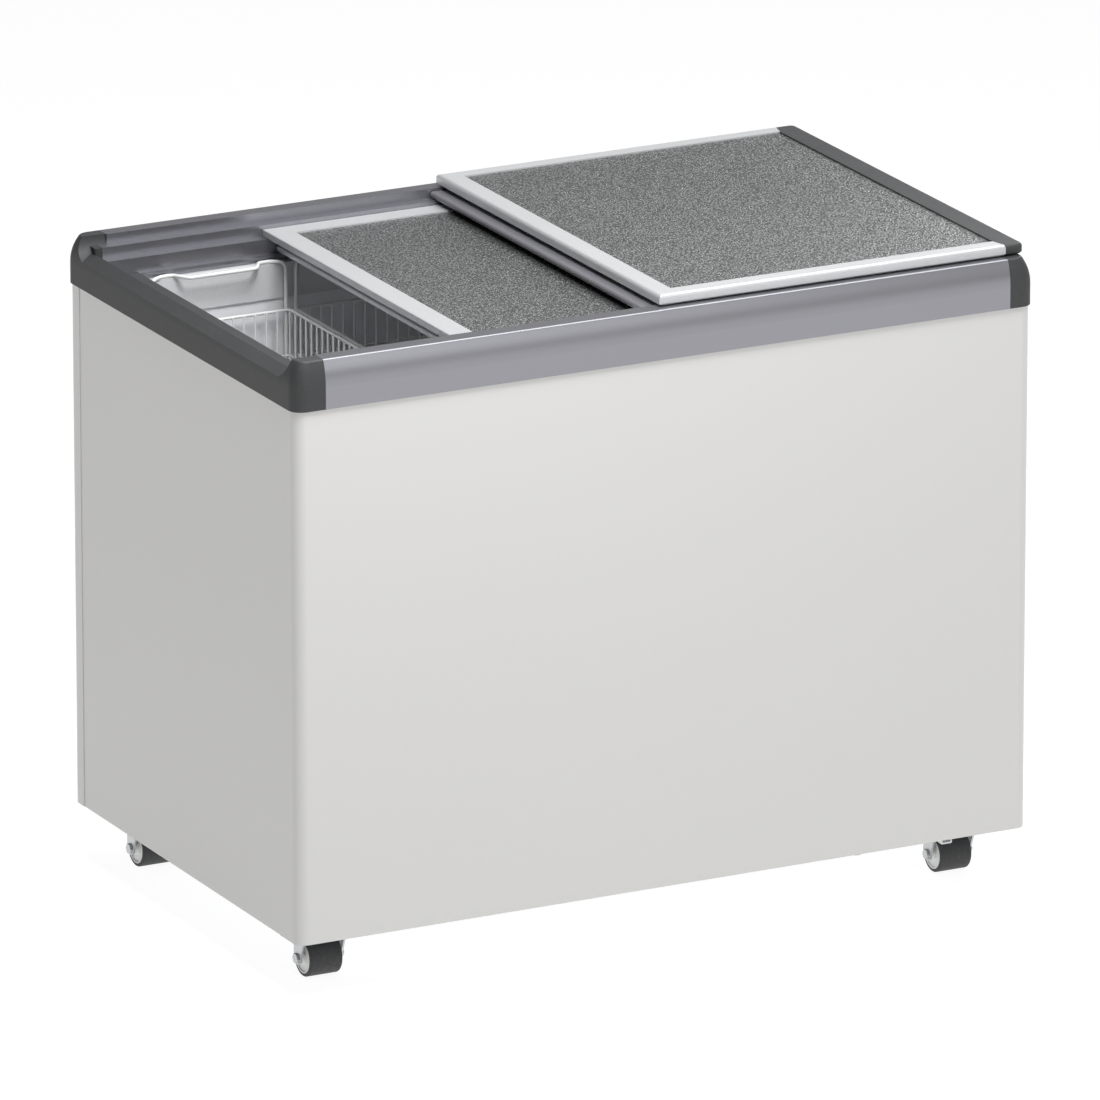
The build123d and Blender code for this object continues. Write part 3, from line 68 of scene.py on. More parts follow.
WELD_SHARE = 0.92  # share of a wire's diameter between two wires that are welded where they cross
MESH_INSET = 1.5  # wire diameters from a basket wall's face to the mesh's centreline
LOWEST_BAND = 1.6  # wire diameters from the floor's wires up to the lowest band


# ---------------------------------------------------------------- settings
def colour(name, text, default):
    return FloatVectorProperty(
        name=name, description=text, subtype="COLOR", size=3, min=0.0, max=1.0, default=default
    )


def length(name, text, default):
    return FloatProperty(
        name=name, description=text, default=default, min=0.0, soft_max=2.0, precision=4, unit="LENGTH"
    )


class CabinetFinishes(bpy.types.PropertyGroup):
    enamel: colour("Enamel", "White powder coat of the shell", (0.71, 0.705, 0.69))
    liner: colour("Liner", "Paint of the well's lining", (0.84, 0.85, 0.87))
    rim: colour("Rim profile", "Anodised aluminium of the rim", (0.33, 0.33, 0.36))
    lid_frame: colour("Lid frame", "Anodised aluminium of the lid frames", (0.66, 0.67, 0.68))
    stucco: colour("Stucco sheet", "Embossed sheet of the lids", (0.27, 0.275, 0.275))
    cap: colour("Corner plastic", "Moulded end caps", (0.036, 0.037, 0.039))
    wire: colour("Wire coating", "Coating of the baskets", (0.86, 0.86, 0.86))
    zinc: colour("Zinc", "Plated steel of the casters", (0.58, 0.59, 0.60))
    tyre: colour("Tyre", "Rubber of the caster tyres", (0.030, 0.031, 0.033))
    hub: colour("Hub", "Nylon of the caster hubs", (0.74, 0.74, 0.73))
    tray: colour("Tray", "Galvanised base tray", (0.50, 0.51, 0.52))
    bracket: colour("Bracket", "Bright zinc of the drain bracket", (0.62, 0.62, 0.63))
    plug: colour("Drain plug", "Plastic of the drain plug", (0.52, 0.52, 0.52))
    lining: colour("Lid lining", "Inner skin of the lids", (0.72, 0.72, 0.72))
    lid_foam: colour("Lid foam", "Cut foam in the lids", (0.75, 0.70, 0.52))
    breaker: colour("Breaker frame", "Plastic of the breaker frame", (0.60, 0.61, 0.62))
    foam: colour("Poured foam", "Insulation of the walls", (0.74, 0.66, 0.44))
    coil: colour("Coil tube", "Evaporator and condenser tube", (0.45, 0.25, 0.16))
    copper: colour("Copper tube", "Drier and refrigerant pipes", (0.60, 0.30, 0.18))
    grille: colour("Grille plastic", "Grille, pocket and thermostat", (0.050, 0.051, 0.053))
    knob: colour("Knob plastic", "Thermostat's knob and power inlet", (0.035, 0.035, 0.037))
    screw: colour("Screw zinc", "Plated grille screws", (0.55, 0.55, 0.56))
    pin: colour("Pin brass", "Pins of the power inlet", (0.62, 0.50, 0.26))
    compressor: colour("Compressor enamel", "Black enamel of the compressor", (0.02, 0.02, 0.022))
    grommet: colour("Grommet rubber", "Feet of the compressor", (0.03, 0.03, 0.03))
    emboss: length("Emboss pitch", "Typical distance between the stucco's bumps", 0.0027)
    lid_thickness: length("Lid thickness", "Upper lid's frame, top to underside", 0.0148)
    edge: length("Edge", "Round along the cut edges of sheet and profiles", 0.0003)


class CabinetBaskets(bpy.types.PropertyGroup):
    rim_wire: length("Rim wire", "Diameter of the wire around the basket's top", 0.004)
    mesh_wire: length("Mesh wire", "Diameter of the mesh wires", 0.0025)
    handle_wire: length("Handle wire", "Diameter of the hanging handles", 0.005)
    pitch: length("Mesh pitch", "Distance between mesh wires", 0.0157)
    bend: length("Bend", "Bend radius of the mesh wires", 0.006)
    handle_bend: length("Handle bend", "Bend radius of the handles", 0.009)
    handle_shoulder: length("Handle shoulder", "Handle's leg to its step down", 0.034)
    handle_ramp: length("Handle ramp", "Length of the step down to the grip", 0.013)
    handle_jog: length("Handle jog", "How far the grip stands in from the shoulder", 0.021)
    leg_inset: length("Leg inset", "Rim's end to the handle's leg", 0.003)
    top_drop: length("Top drop", "How far the mesh ends under the walls' top", 0.001)
    side_gap: length("Side gap", "Last mesh wire to the mesh's corner", 0.003)
    hook: length("Hook", "Reach under the floor of a wire that stops short", 0.02)
    upper_band: length("Upper band", "Top of the mesh to the upper band", 0.060)
    middle_band: length("Middle band", "Top of the mesh to the middle band", 0.130)


class CabinetStage(bpy.types.PropertyGroup):
    azimuth: FloatProperty(
        name="Azimuth", description="Camera's turn about the cabinet", default=-27.104, precision=3
    )
    elevation: FloatProperty(
        name="Elevation", description="Camera's height above level", default=17.430, precision=3
    )
    distance: length("Distance", "Camera to the cabinet's middle", 18.62465)
    aim_height: length("Aim height", "Height of the point aimed at", 0.43)
    slide_right: FloatProperty(
        name="Slide right", description="Sideways move of the camera", default=0.0012, unit="LENGTH"
    )
    slide_up: FloatProperty(
        name="Slide up", description="Upward move of the camera", default=-0.003590, unit="LENGTH"
    )
    focal: FloatProperty(
        name="Focal length", description="Lens in millimetres on a 36 mm sensor", default=477.2, precision=2
    )
    floor: colour("Floor", "Paint of the floor, which also glows", (0.20, 0.20, 0.20))
    glow: FloatProperty(name="Floor glow", description="Light that the floor itself gives off", default=0.92)
    key: FloatProperty(name="Key light", description="Power of the key light, in watts", default=26.0)
    overhead: FloatProperty(name="Overhead light", description="Power of the overhead light", default=50.0)
    reach: FloatProperty(name="Well light", description="Power of the light into the well", default=32.0)
    sheen: FloatProperty(name="Sheen light", description="Power of the light behind the lids", default=13.0)
    sky_left: FloatProperty(name="Sky at the left", description="Strength of the sky at -X", default=0.02)
    sky_right: FloatProperty(name="Sky at the right", description="Strength of the sky at +X", default=0.52)


# ---------------------------------------------------------------- shader helpers
def link(tree, source, target):
    tree.links.new(source, target)


def add_node(tree, kind, **settings):
    """New shader node; settings name its properties or, with in_ before them, its input sockets."""
    node = tree.nodes.new(kind)
    for key, value in settings.items():
        if key.startswith("in_"):
            node.inputs[key[3:].replace("_", " ")].default_value = value
        else:
            setattr(node, key, value)
    return node


def group_tree(name, inputs, outputs):
    """New shader group with named sockets, with its input and output nodes."""
    tree = bpy.data.node_groups.new(name, "ShaderNodeTree")
    for label, kind, value in inputs:
        socket = tree.interface.new_socket(name=label, in_out="INPUT", socket_type=kind)
        if value is not None:
            socket.default_value = value
    for label, kind in outputs:
        tree.interface.new_socket(name=label, in_out="OUTPUT", socket_type=kind)
    return tree, tree.nodes.new("NodeGroupInput"), tree.nodes.new("NodeGroupOutput")


def group_fine_grain():
    """Fine even grain as a height and a mask, in object space."""
    if "Fine grain" in bpy.data.node_groups:
        return bpy.data.node_groups["Fine grain"]
    tree, given, out = group_tree(
        "Fine grain",
        [("Scale", "NodeSocketFloat", 900.0), ("Roughness", "NodeSocketFloat", 0.55)],
        [("Height", "NodeSocketFloat"), ("Mask", "NodeSocketFloat")],
    )
    place = add_node(tree, "ShaderNodeTexCoord")
    noise = add_node(tree, "ShaderNodeTexNoise", in_Detail=4.0)
    ramp = add_node(tree, "ShaderNodeMapRange", in_From_Min=0.35, in_From_Max=0.68)
    link(tree, place.outputs["Object"], noise.inputs["Vector"])
    link(tree, given.outputs["Scale"], noise.inputs["Scale"])
    link(tree, given.outputs["Roughness"], noise.inputs["Roughness"])
    link(tree, noise.outputs["Fac"], ramp.inputs["Value"])
    link(tree, noise.outputs["Fac"], out.inputs["Height"])
    link(tree, ramp.outputs["Result"], out.inputs["Mask"])
    return tree


def group_handling():
    """Faint smears and dust of daily use: a tinted colour and a varied roughness."""
    if "Handling" in bpy.data.node_groups:
        return bpy.data.node_groups["Handling"]
    tree, given, out = group_tree(
        "Handling",
        [
            ("Color", "NodeSocketColor", (0.8, 0.8, 0.8, 1.0)),
            ("Dust Color", "NodeSocketColor", (0.55, 0.53, 0.50, 1.0)),
            ("Dust", "NodeSocketFloat", 0.05),
            ("Roughness", "NodeSocketFloat", 0.35),
            ("Smear", "NodeSocketFloat", 0.06),
            ("Scale", "NodeSocketFloat", 7.0),
        ],
        [("Color", "NodeSocketColor"), ("Roughness", "NodeSocketFloat")],
    )
    place = add_node(tree, "ShaderNodeTexCoord")
    broad = add_node(tree, "ShaderNodeTexNoise", in_Detail=6.0, in_Roughness=0.6)
    fine = add_node(tree, "ShaderNodeTexNoise", in_Detail=3.0, in_Roughness=0.7)
    finer = add_node(tree, "ShaderNodeMath", operation="MULTIPLY")
    finer.inputs[1].default_value = 19.0
    patches = add_node(tree, "ShaderNodeMapRange", in_From_Min=0.42, in_From_Max=0.75)
    specks = add_node(tree, "ShaderNodeMapRange", in_From_Min=0.4, in_From_Max=0.72)
    both = add_node(tree, "ShaderNodeMath", operation="MULTIPLY")
    amount = add_node(tree, "ShaderNodeMath", operation="MULTIPLY", use_clamp=True)
    mix = add_node(tree, "ShaderNodeMix", data_type="RGBA")
    swing = add_node(tree, "ShaderNodeMath", operation="SUBTRACT")
    swing.inputs[1].default_value = 0.5
    scaled = add_node(tree, "ShaderNodeMath", operation="MULTIPLY")
    total = add_node(tree, "ShaderNodeMath", operation="ADD", use_clamp=True)
    link(tree, place.outputs["Object"], broad.inputs["Vector"])
    link(tree, place.outputs["Object"], fine.inputs["Vector"])
    link(tree, given.outputs["Scale"], broad.inputs["Scale"])
    link(tree, given.outputs["Scale"], finer.inputs[0])
    link(tree, finer.outputs[0], fine.inputs["Scale"])
    link(tree, broad.outputs["Fac"], patches.inputs["Value"])
    link(tree, fine.outputs["Fac"], specks.inputs["Value"])
    link(tree, patches.outputs["Result"], both.inputs[0])
    link(tree, specks.outputs["Result"], both.inputs[1])
    link(tree, both.outputs[0], amount.inputs[0])
    link(tree, given.outputs["Dust"], amount.inputs[1])
    link(tree, amount.outputs[0], mix.inputs["Factor"])
    link(tree, given.outputs["Color"], mix.inputs["A"])
    link(tree, given.outputs["Dust Color"], mix.inputs["B"])
    link(tree, broad.outputs["Fac"], swing.inputs[0])
    link(tree, swing.outputs[0], scaled.inputs[0])
    link(tree, given.outputs["Smear"], scaled.inputs[1])
    link(tree, scaled.outputs[0], total.inputs[0])
    link(tree, given.outputs["Roughness"], total.inputs[1])
    link(tree, mix.outputs["Result"], out.inputs["Color"])
    link(tree, total.outputs[0], out.inputs["Roughness"])
    return tree


def group_drawn_lines():
    """Long drawn or brushed lines along one axis, as a height and a mask."""
    if "Drawn lines" in bpy.data.node_groups:
        return bpy.data.node_groups["Drawn lines"]
    tree, given, out = group_tree(
        "Drawn lines",
        [("Direction", "NodeSocketVector", (4.0, 900.0, 900.0))],
        [("Height", "NodeSocketFloat"), ("Mask", "NodeSocketFloat")],
    )
    place = add_node(tree, "ShaderNodeTexCoord")
    stretch = add_node(tree, "ShaderNodeVectorMath", operation="MULTIPLY")
    noise = add_node(tree, "ShaderNodeTexNoise", in_Scale=1.0, in_Detail=3.0, in_Roughness=0.6)
    ramp = add_node(tree, "ShaderNodeMapRange", in_From_Min=0.3, in_From_Max=0.7)
    link(tree, place.outputs["Object"], stretch.inputs[0])
    link(tree, given.outputs["Direction"], stretch.inputs[1])
    link(tree, stretch.outputs[0], noise.inputs["Vector"])
    link(tree, noise.outputs["Fac"], out.inputs["Height"])
    link(tree, noise.outputs["Fac"], ramp.inputs["Value"])
    link(tree, ramp.outputs["Result"], out.inputs["Mask"])
    return tree


def group_stucco():
    """Stucco emboss of cold-room sheet: rounded pebbles as a height, with a mask of their crowns that carries
    a painted highlight.
    """
    if "Stucco emboss" in bpy.data.node_groups:
        return bpy.data.node_groups["Stucco emboss"]
    tree, given, out = group_tree(
        "Stucco emboss",
        [("Scale", "NodeSocketFloat", 240.0), ("Warp", "NodeSocketFloat", 0.004)],
        [("Height", "NodeSocketFloat"), ("Crown highlight", "NodeSocketFloat")],
    )
    place = add_node(tree, "ShaderNodeTexCoord")
    warp = add_node(tree, "ShaderNodeTexNoise", in_Scale=160.0, in_Detail=1.0)
    centred = add_node(tree, "ShaderNodeVectorMath", operation="SUBTRACT")
    centred.inputs[1].default_value = (0.5, 0.5, 0.5)
    moved = add_node(tree, "ShaderNodeVectorMath", operation="SCALE")
    shifted = add_node(tree, "ShaderNodeVectorMath", operation="ADD")
    cells = add_node(
        tree, "ShaderNodeTexVoronoi", feature="SMOOTH_F1", in_Smoothness=0.55, in_Randomness=1.0
    )
    soft = add_node(tree, "ShaderNodeTexNoise", in_Detail=1.5, in_Roughness=0.5)
    crown = add_node(tree, "ShaderNodeMapRange", in_From_Min=0.62, in_From_Max=0.12)
    height = add_node(tree, "ShaderNodeMath", operation="MULTIPLY_ADD")
    height.inputs[1].default_value = 0.65
    # mask of the pebble tops, used to paint a highlight on them
    tops = add_node(tree, "ShaderNodeMapRange", in_From_Min=0.55, in_From_Max=0.95)
    link(tree, place.outputs["Object"], warp.inputs["Vector"])
    link(tree, warp.outputs["Color"], centred.inputs[0])
    link(tree, centred.outputs[0], moved.inputs[0])
    link(tree, given.outputs["Warp"], moved.inputs["Scale"])
    link(tree, place.outputs["Object"], shifted.inputs[0])
    link(tree, moved.outputs[0], shifted.inputs[1])
    link(tree, shifted.outputs[0], cells.inputs["Vector"])
    link(tree, shifted.outputs[0], soft.inputs["Vector"])
    link(tree, given.outputs["Scale"], cells.inputs["Scale"])
    link(tree, given.outputs["Scale"], soft.inputs["Scale"])
    link(tree, cells.outputs["Distance"], crown.inputs["Value"])
    link(tree, crown.outputs["Result"], height.inputs[0])
    link(tree, soft.outputs["Fac"], height.inputs[2])
    link(tree, height.outputs[0], tops.inputs["Value"])
    link(tree, height.outputs[0], out.inputs["Height"])
    link(tree, tops.outputs["Result"], out.inputs["Crown highlight"])
    return tree


class Finish:
    """One material under construction: its tree, its Principled shader and the links most finishes need."""

    def __init__(self, name, roughness=0.4, metallic=0.0, coat=0.0, specular=0.5):
        self.material = bpy.data.materials.get(name) or bpy.data.materials.new(name)
        self.material.use_nodes = True
        self.tree = self.material.node_tree
        self.tree.nodes.clear()
        self.shader = add_node(
            self.tree, "ShaderNodeBsdfPrincipled", in_Roughness=roughness, in_Metallic=metallic
        )
        self.shader.inputs["Coat Weight"].default_value = coat
        self.shader.inputs["Coat Roughness"].default_value = 0.12
        self.shader.inputs["Specular IOR Level"].default_value = specular
        output = add_node(self.tree, "ShaderNodeOutputMaterial")
        link(self.tree, self.shader.outputs["BSDF"], output.inputs["Surface"])

    def group(self, tree, **values):
        node = add_node(self.tree, "ShaderNodeGroup", node_tree=tree)
        for label, value in values.items():
            node.inputs[label.replace("_", " ")].default_value = value
        return node

    def handled(self, tint, roughness, dust=0.05, smear=0.06, scale=7.0, dust_tint=(0.55, 0.53, 0.50)):
        """Colour with a little dust in it and a roughness that wanders."""
        node = self.group(
            group_handling(),
            Color=(*tint, 1.0),
            Dust_Color=(*dust_tint, 1.0),
            Dust=dust,
            Roughness=roughness,
            Smear=smear,
            Scale=scale,
        )
        link(self.tree, node.outputs["Color"], self.shader.inputs["Base Color"])
        link(self.tree, node.outputs["Roughness"], self.shader.inputs["Roughness"])
        return node

    def bump(self, height, distance):
        """Bump from a height socket."""
        node = add_node(self.tree, "ShaderNodeBump", in_Distance=distance, in_Strength=1.0)
        link(self.tree, height, node.inputs["Height"])
        link(self.tree, node.outputs["Normal"], self.shader.inputs["Normal"])

    def tinted(self, mask, source, second):
        """Base colour mixed from a colour socket and a second colour by a mask over the surface."""
        node = add_node(self.tree, "ShaderNodeMix", data_type="RGBA")
        node.inputs["B"].default_value = (*second, 1.0)
        link(self.tree, mask, node.inputs["Factor"])
        link(self.tree, source, node.inputs["A"])
        link(self.tree, node.outputs["Result"], self.shader.inputs["Base Color"])


def darker(tint, share):
    return tuple(c * share for c in tint)


def enamel_finish(name, tint, roughness=0.30, coat=0.25, grain=700.0, depth=0.00003, dust=0.04):
    """Powder coat: a faint orange peel, with light dust."""
    finish = Finish(name, coat=coat)
    finish.handled(tint, roughness, dust=dust, smear=0.05, scale=5.0)
    peel = finish.group(group_fine_grain(), Scale=grain, Roughness=0.4)
    finish.bump(peel.outputs["Height"], depth)
    return finish.material


def profile_finish(name, tint, roughness, metallic, direction, depth=0.00002, coat=0.0):
    """Satin anodised profile with faint drawing lines along its length."""
    finish = Finish(name, metallic=metallic, coat=coat)
    handled = finish.handled(tint, roughness, dust=0.04, smear=0.08, scale=6.0, dust_tint=(0.4, 0.4, 0.4))
    lines = finish.group(group_drawn_lines(), Direction=direction)
    shade = add_node(finish.tree, "ShaderNodeMath", operation="MULTIPLY")
    shade.inputs[1].default_value = LINE_AMOUNT
    link(finish.tree, lines.outputs["Mask"], shade.inputs[0])
    finish.tinted(shade.outputs[0], handled.outputs["Color"], darker(tint, LINE_SHADE))
    finish.bump(lines.outputs["Height"], depth)
    return finish.material


def grip_finish(name, tint, lip_tint, level, roughness, metallic, direction):
    """Profile finish whose lower lip, under the given height, keeps the rim's darker anodising."""
    material = profile_finish(name, tint, roughness, metallic, direction)
    tree = material.node_tree
    shader = next(node for node in tree.nodes if node.type == "BSDF_PRINCIPLED")
    upper = shader.inputs["Base Color"].links[0].from_socket
    place = add_node(tree, "ShaderNodeTexCoord")
    parts = add_node(tree, "ShaderNodeSeparateXYZ")
    under = add_node(tree, "ShaderNodeMapRange", in_From_Min=level + LIP_BLUR, in_From_Max=level - LIP_BLUR)
    mix = add_node(tree, "ShaderNodeMix", data_type="RGBA")
    mix.inputs["B"].default_value = (*lip_tint, 1.0)
    link(tree, place.outputs["Object"], parts.inputs[0])
    link(tree, parts.outputs["Z"], under.inputs["Value"])
    link(tree, under.outputs["Result"], mix.inputs["Factor"])
    link(tree, upper, mix.inputs["A"])
    link(tree, mix.outputs["Result"], shader.inputs["Base Color"])
    return material


def stucco_finish(name, tint, pitch, roughness=0.34):
    """Embossed sheet: painted highlight on the crowns over painted shade in the valleys."""
    finish = Finish(name, metallic=0.85, roughness=roughness)
    # base colour darkened all over as painted shade for the valleys, with real dust mixed in
    handled = finish.handled(
        darker(tint, STUCCO_PAINTED_SHADE), roughness, dust=0.06, smear=0.08, scale=9.0, dust_tint=darker(tint, 0.8)
    )
    stucco = finish.group(group_stucco(), Scale=1.0 / pitch, Warp=pitch)
    # painted highlight: the crowns are brightened past the sheet's tint
    finish.tinted(stucco.outputs["Crown highlight"], handled.outputs["Color"], darker(tint, STUCCO_PAINTED_HIGHLIGHT))
    finish.bump(stucco.outputs["Height"], STUCCO_DEPTH)
    return finish.material


def moulded_finish(name, tint, roughness=0.55, grain=1400.0, depth=0.00006, dust=0.08, specular=0.5):
    """Moulded plastic with a spark-eroded grain."""
    finish = Finish(name, specular=specular)
    handled = finish.handled(tint, roughness, dust=dust, smear=0.1, scale=12.0)
    grained = finish.group(group_fine_grain(), Scale=grain, Roughness=0.65)
    pale = tuple(min(1.0, c * GRAIN_GAIN + GRAIN_LIFT) for c in tint)
    finish.tinted(grained.outputs["Mask"], handled.outputs["Color"], pale)
    finish.bump(grained.outputs["Height"], depth)
    return finish.material


def zinc_finish(name, tint, roughness=0.36, metallic=0.9):
    """Zinc plate with a soft spangle."""
    finish = Finish(name, metallic=metallic)
    finish.handled(tint, roughness, dust=0.1, smear=0.14, scale=40.0, dust_tint=(0.42, 0.40, 0.36))
    grained = finish.group(group_fine_grain(), Scale=500.0, Roughness=0.5)
    finish.bump(grained.outputs["Height"], 0.00003)
    return finish.material


def dress(names, material):
    """Gives CAD nodes or pieces, by name, one material."""
    for name in names:
        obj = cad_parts.get(name) or bpy.data.objects[name]
        obj.data.materials.clear()
        obj.data.materials.append(material)


def soften(names, width, segments=2, angle=40.0):
    """Rounds the hard edges of CAD nodes with a bevel modifier."""
    for name in names:
        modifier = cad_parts[name].modifiers.new("Edge", "BEVEL")
        modifier.width = width
        modifier.segments = segments
        modifier.limit_method = "ANGLE"
        modifier.angle_limit = math.radians(angle)
        modifier.harden_normals = False


# ---------------------------------------------------------------- pieces
class CABINET_OT_shell(bpy.types.Operator):
    """Enamels the shell's panels and plates the base tray"""

    bl_idname = "cabinet.shell"
    bl_label = "Shell"

    def execute(self, context):
        looks = context.scene.cabinet_finishes
        panels = ["front_panel", "back_panel", "side_panel_left", "side_panel_right"]
        dress(panels, enamel_finish("White enamel", tuple(looks.enamel)))
        soften(panels, looks.edge)
        dress(["base_tray"], zinc_finish("Galvanised tray", tuple(looks.tray), roughness=0.45))
        dress(["base_bracket"], zinc_finish("Bright zinc bracket", tuple(looks.bracket)))
        dress(["drain_plug"], moulded_finish("Plug plastic", tuple(looks.plug)))
        return {"FINISHED"}


class CABINET_OT_rim(bpy.types.Operator):
    """Anodises the rim's profiles and grains its end caps"""

    bl_idname = "cabinet.rim"
    bl_label = "Rim"

    def execute(self, context):
        looks = context.scene.cabinet_finishes
        rim = profile_finish("Rim profile", tuple(looks.rim), 0.30, 0.85, ALONG_X)
        dress(["rim_front", "rim_back"], rim)
        dress(["end_cap_left", "end_cap_right"], moulded_finish("Corner plastic", tuple(looks.cap)))
        return {"FINISHED"}


class CABINET_OT_lids(bpy.types.Operator):
    """Finishes the frames, embossed sheets and cores of both lids"""

    bl_idname = "cabinet.lids"
    bl_label = "Lids"

    def execute(self, context):
        looks = context.scene.cabinet_finishes
        tint = tuple(looks.lid_frame)
        along = profile_finish("Lid rail profile", tint, 0.38, 0.45, ALONG_X)
        across = profile_finish("Lid stile profile", tint, 0.38, 0.45, ALONG_Y)
        dress(["upper_lid_rails", "lower_lid_rails"], along)
        dress(["lower_lid_stiles"], across)
        lip_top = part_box("upper_lid_grip_stile")[1][2] - looks.lid_thickness
        lip_tint = darker(tuple(looks.rim), 0.8)
        gripped = grip_finish("Grip stile", tint, lip_tint, lip_top, 0.38, 0.45, ALONG_Y)
        dress(["upper_lid_grip_stile"], gripped)
        dress(["upper_lid_end_cap"], moulded_finish("Lid end plastic", tuple(looks.cap)))
        stucco = stucco_finish("Stucco sheet", tuple(looks.stucco), looks.emboss)
        dress(["upper_lid_panel", "lower_lid_panel"], stucco)
        dress(["upper_lid_skin", "lower_lid_skin"], enamel_finish("Lid lining", tuple(looks.lining)))
        dress(["upper_lid_foam", "lower_lid_foam"], moulded_finish("Lid foam", tuple(looks.lid_foam), 0.9))
        return {"FINISHED"}


class CABINET_OT_well(bpy.types.Operator):
    """Paints the well's lining and finishes its breaker frame, foam and coils"""

    bl_idname = "cabinet.well"
    bl_label = "Well"

    def execute(self, context):
        looks = context.scene.cabinet_finishes
        dress(["inner_liner"], enamel_finish("Liner paint", tuple(looks.liner), roughness=0.38, coat=0.1))
        breaker = moulded_finish("Breaker plastic", tuple(looks.breaker), 0.42, depth=0.00003)
        dress(["breaker_frame"], breaker)
        dress(["insulation_foam"], moulded_finish("Poured foam", tuple(looks.foam), 0.9, 300.0, 0.0006))
        dress(["evaporator_coil", "condenser_coil"], zinc_finish("Coil tube", tuple(looks.coil)))
        return {"FINISHED"}


def rounded_path(points, radius, steps=5, closed=False):
    """Points along straight runs joined by arcs, for bent wire."""
    count = len(points)
    points = [Vector(p) for p in points]
    path = []
    for index, corner in enumerate(points):
        if not closed and index in (0, count - 1):
            path.append(corner)
            continue
        before = points[index - 1] - corner
        after = points[(index + 1) % count] - corner
        half = before.angle(after) / 2
        reach = min(radius / math.tan(half), before.length * MOST_OF_HALF, after.length * MOST_OF_HALF)
        middle = (before.normalized() + after.normalized()).normalized() * (reach / math.cos(half))
        start, end = before.normalized() * reach - middle, after.normalized() * reach - middle
        for step in range(steps + 1):
            share = step / steps
            turn = start.lerp(end, share).normalized() * start.length
            path.append(corner + middle + turn)
    return path


def bent_wires(name, paths, diameter, material, closed):
    """One curve object of round wires along the given paths."""
    curve = bpy.data.curves.new(name, "CURVE")
    curve.dimensions = "3D"
    curve.bevel_depth = diameter / 2
    curve.bevel_resolution = 3
    curve.use_fill_caps = True
    for path in paths:
        spline = curve.splines.new("POLY")
        spline.points.add(len(path) - 1)
        for point, place in zip(spline.points, path):
            point.co = (*place, 1.0)
        spline.use_cyclic_u = closed
    curve.materials.append(material)
    obj = bpy.data.objects.new(name, curve)
    bpy.context.scene.collection.objects.link(obj)
    return obj


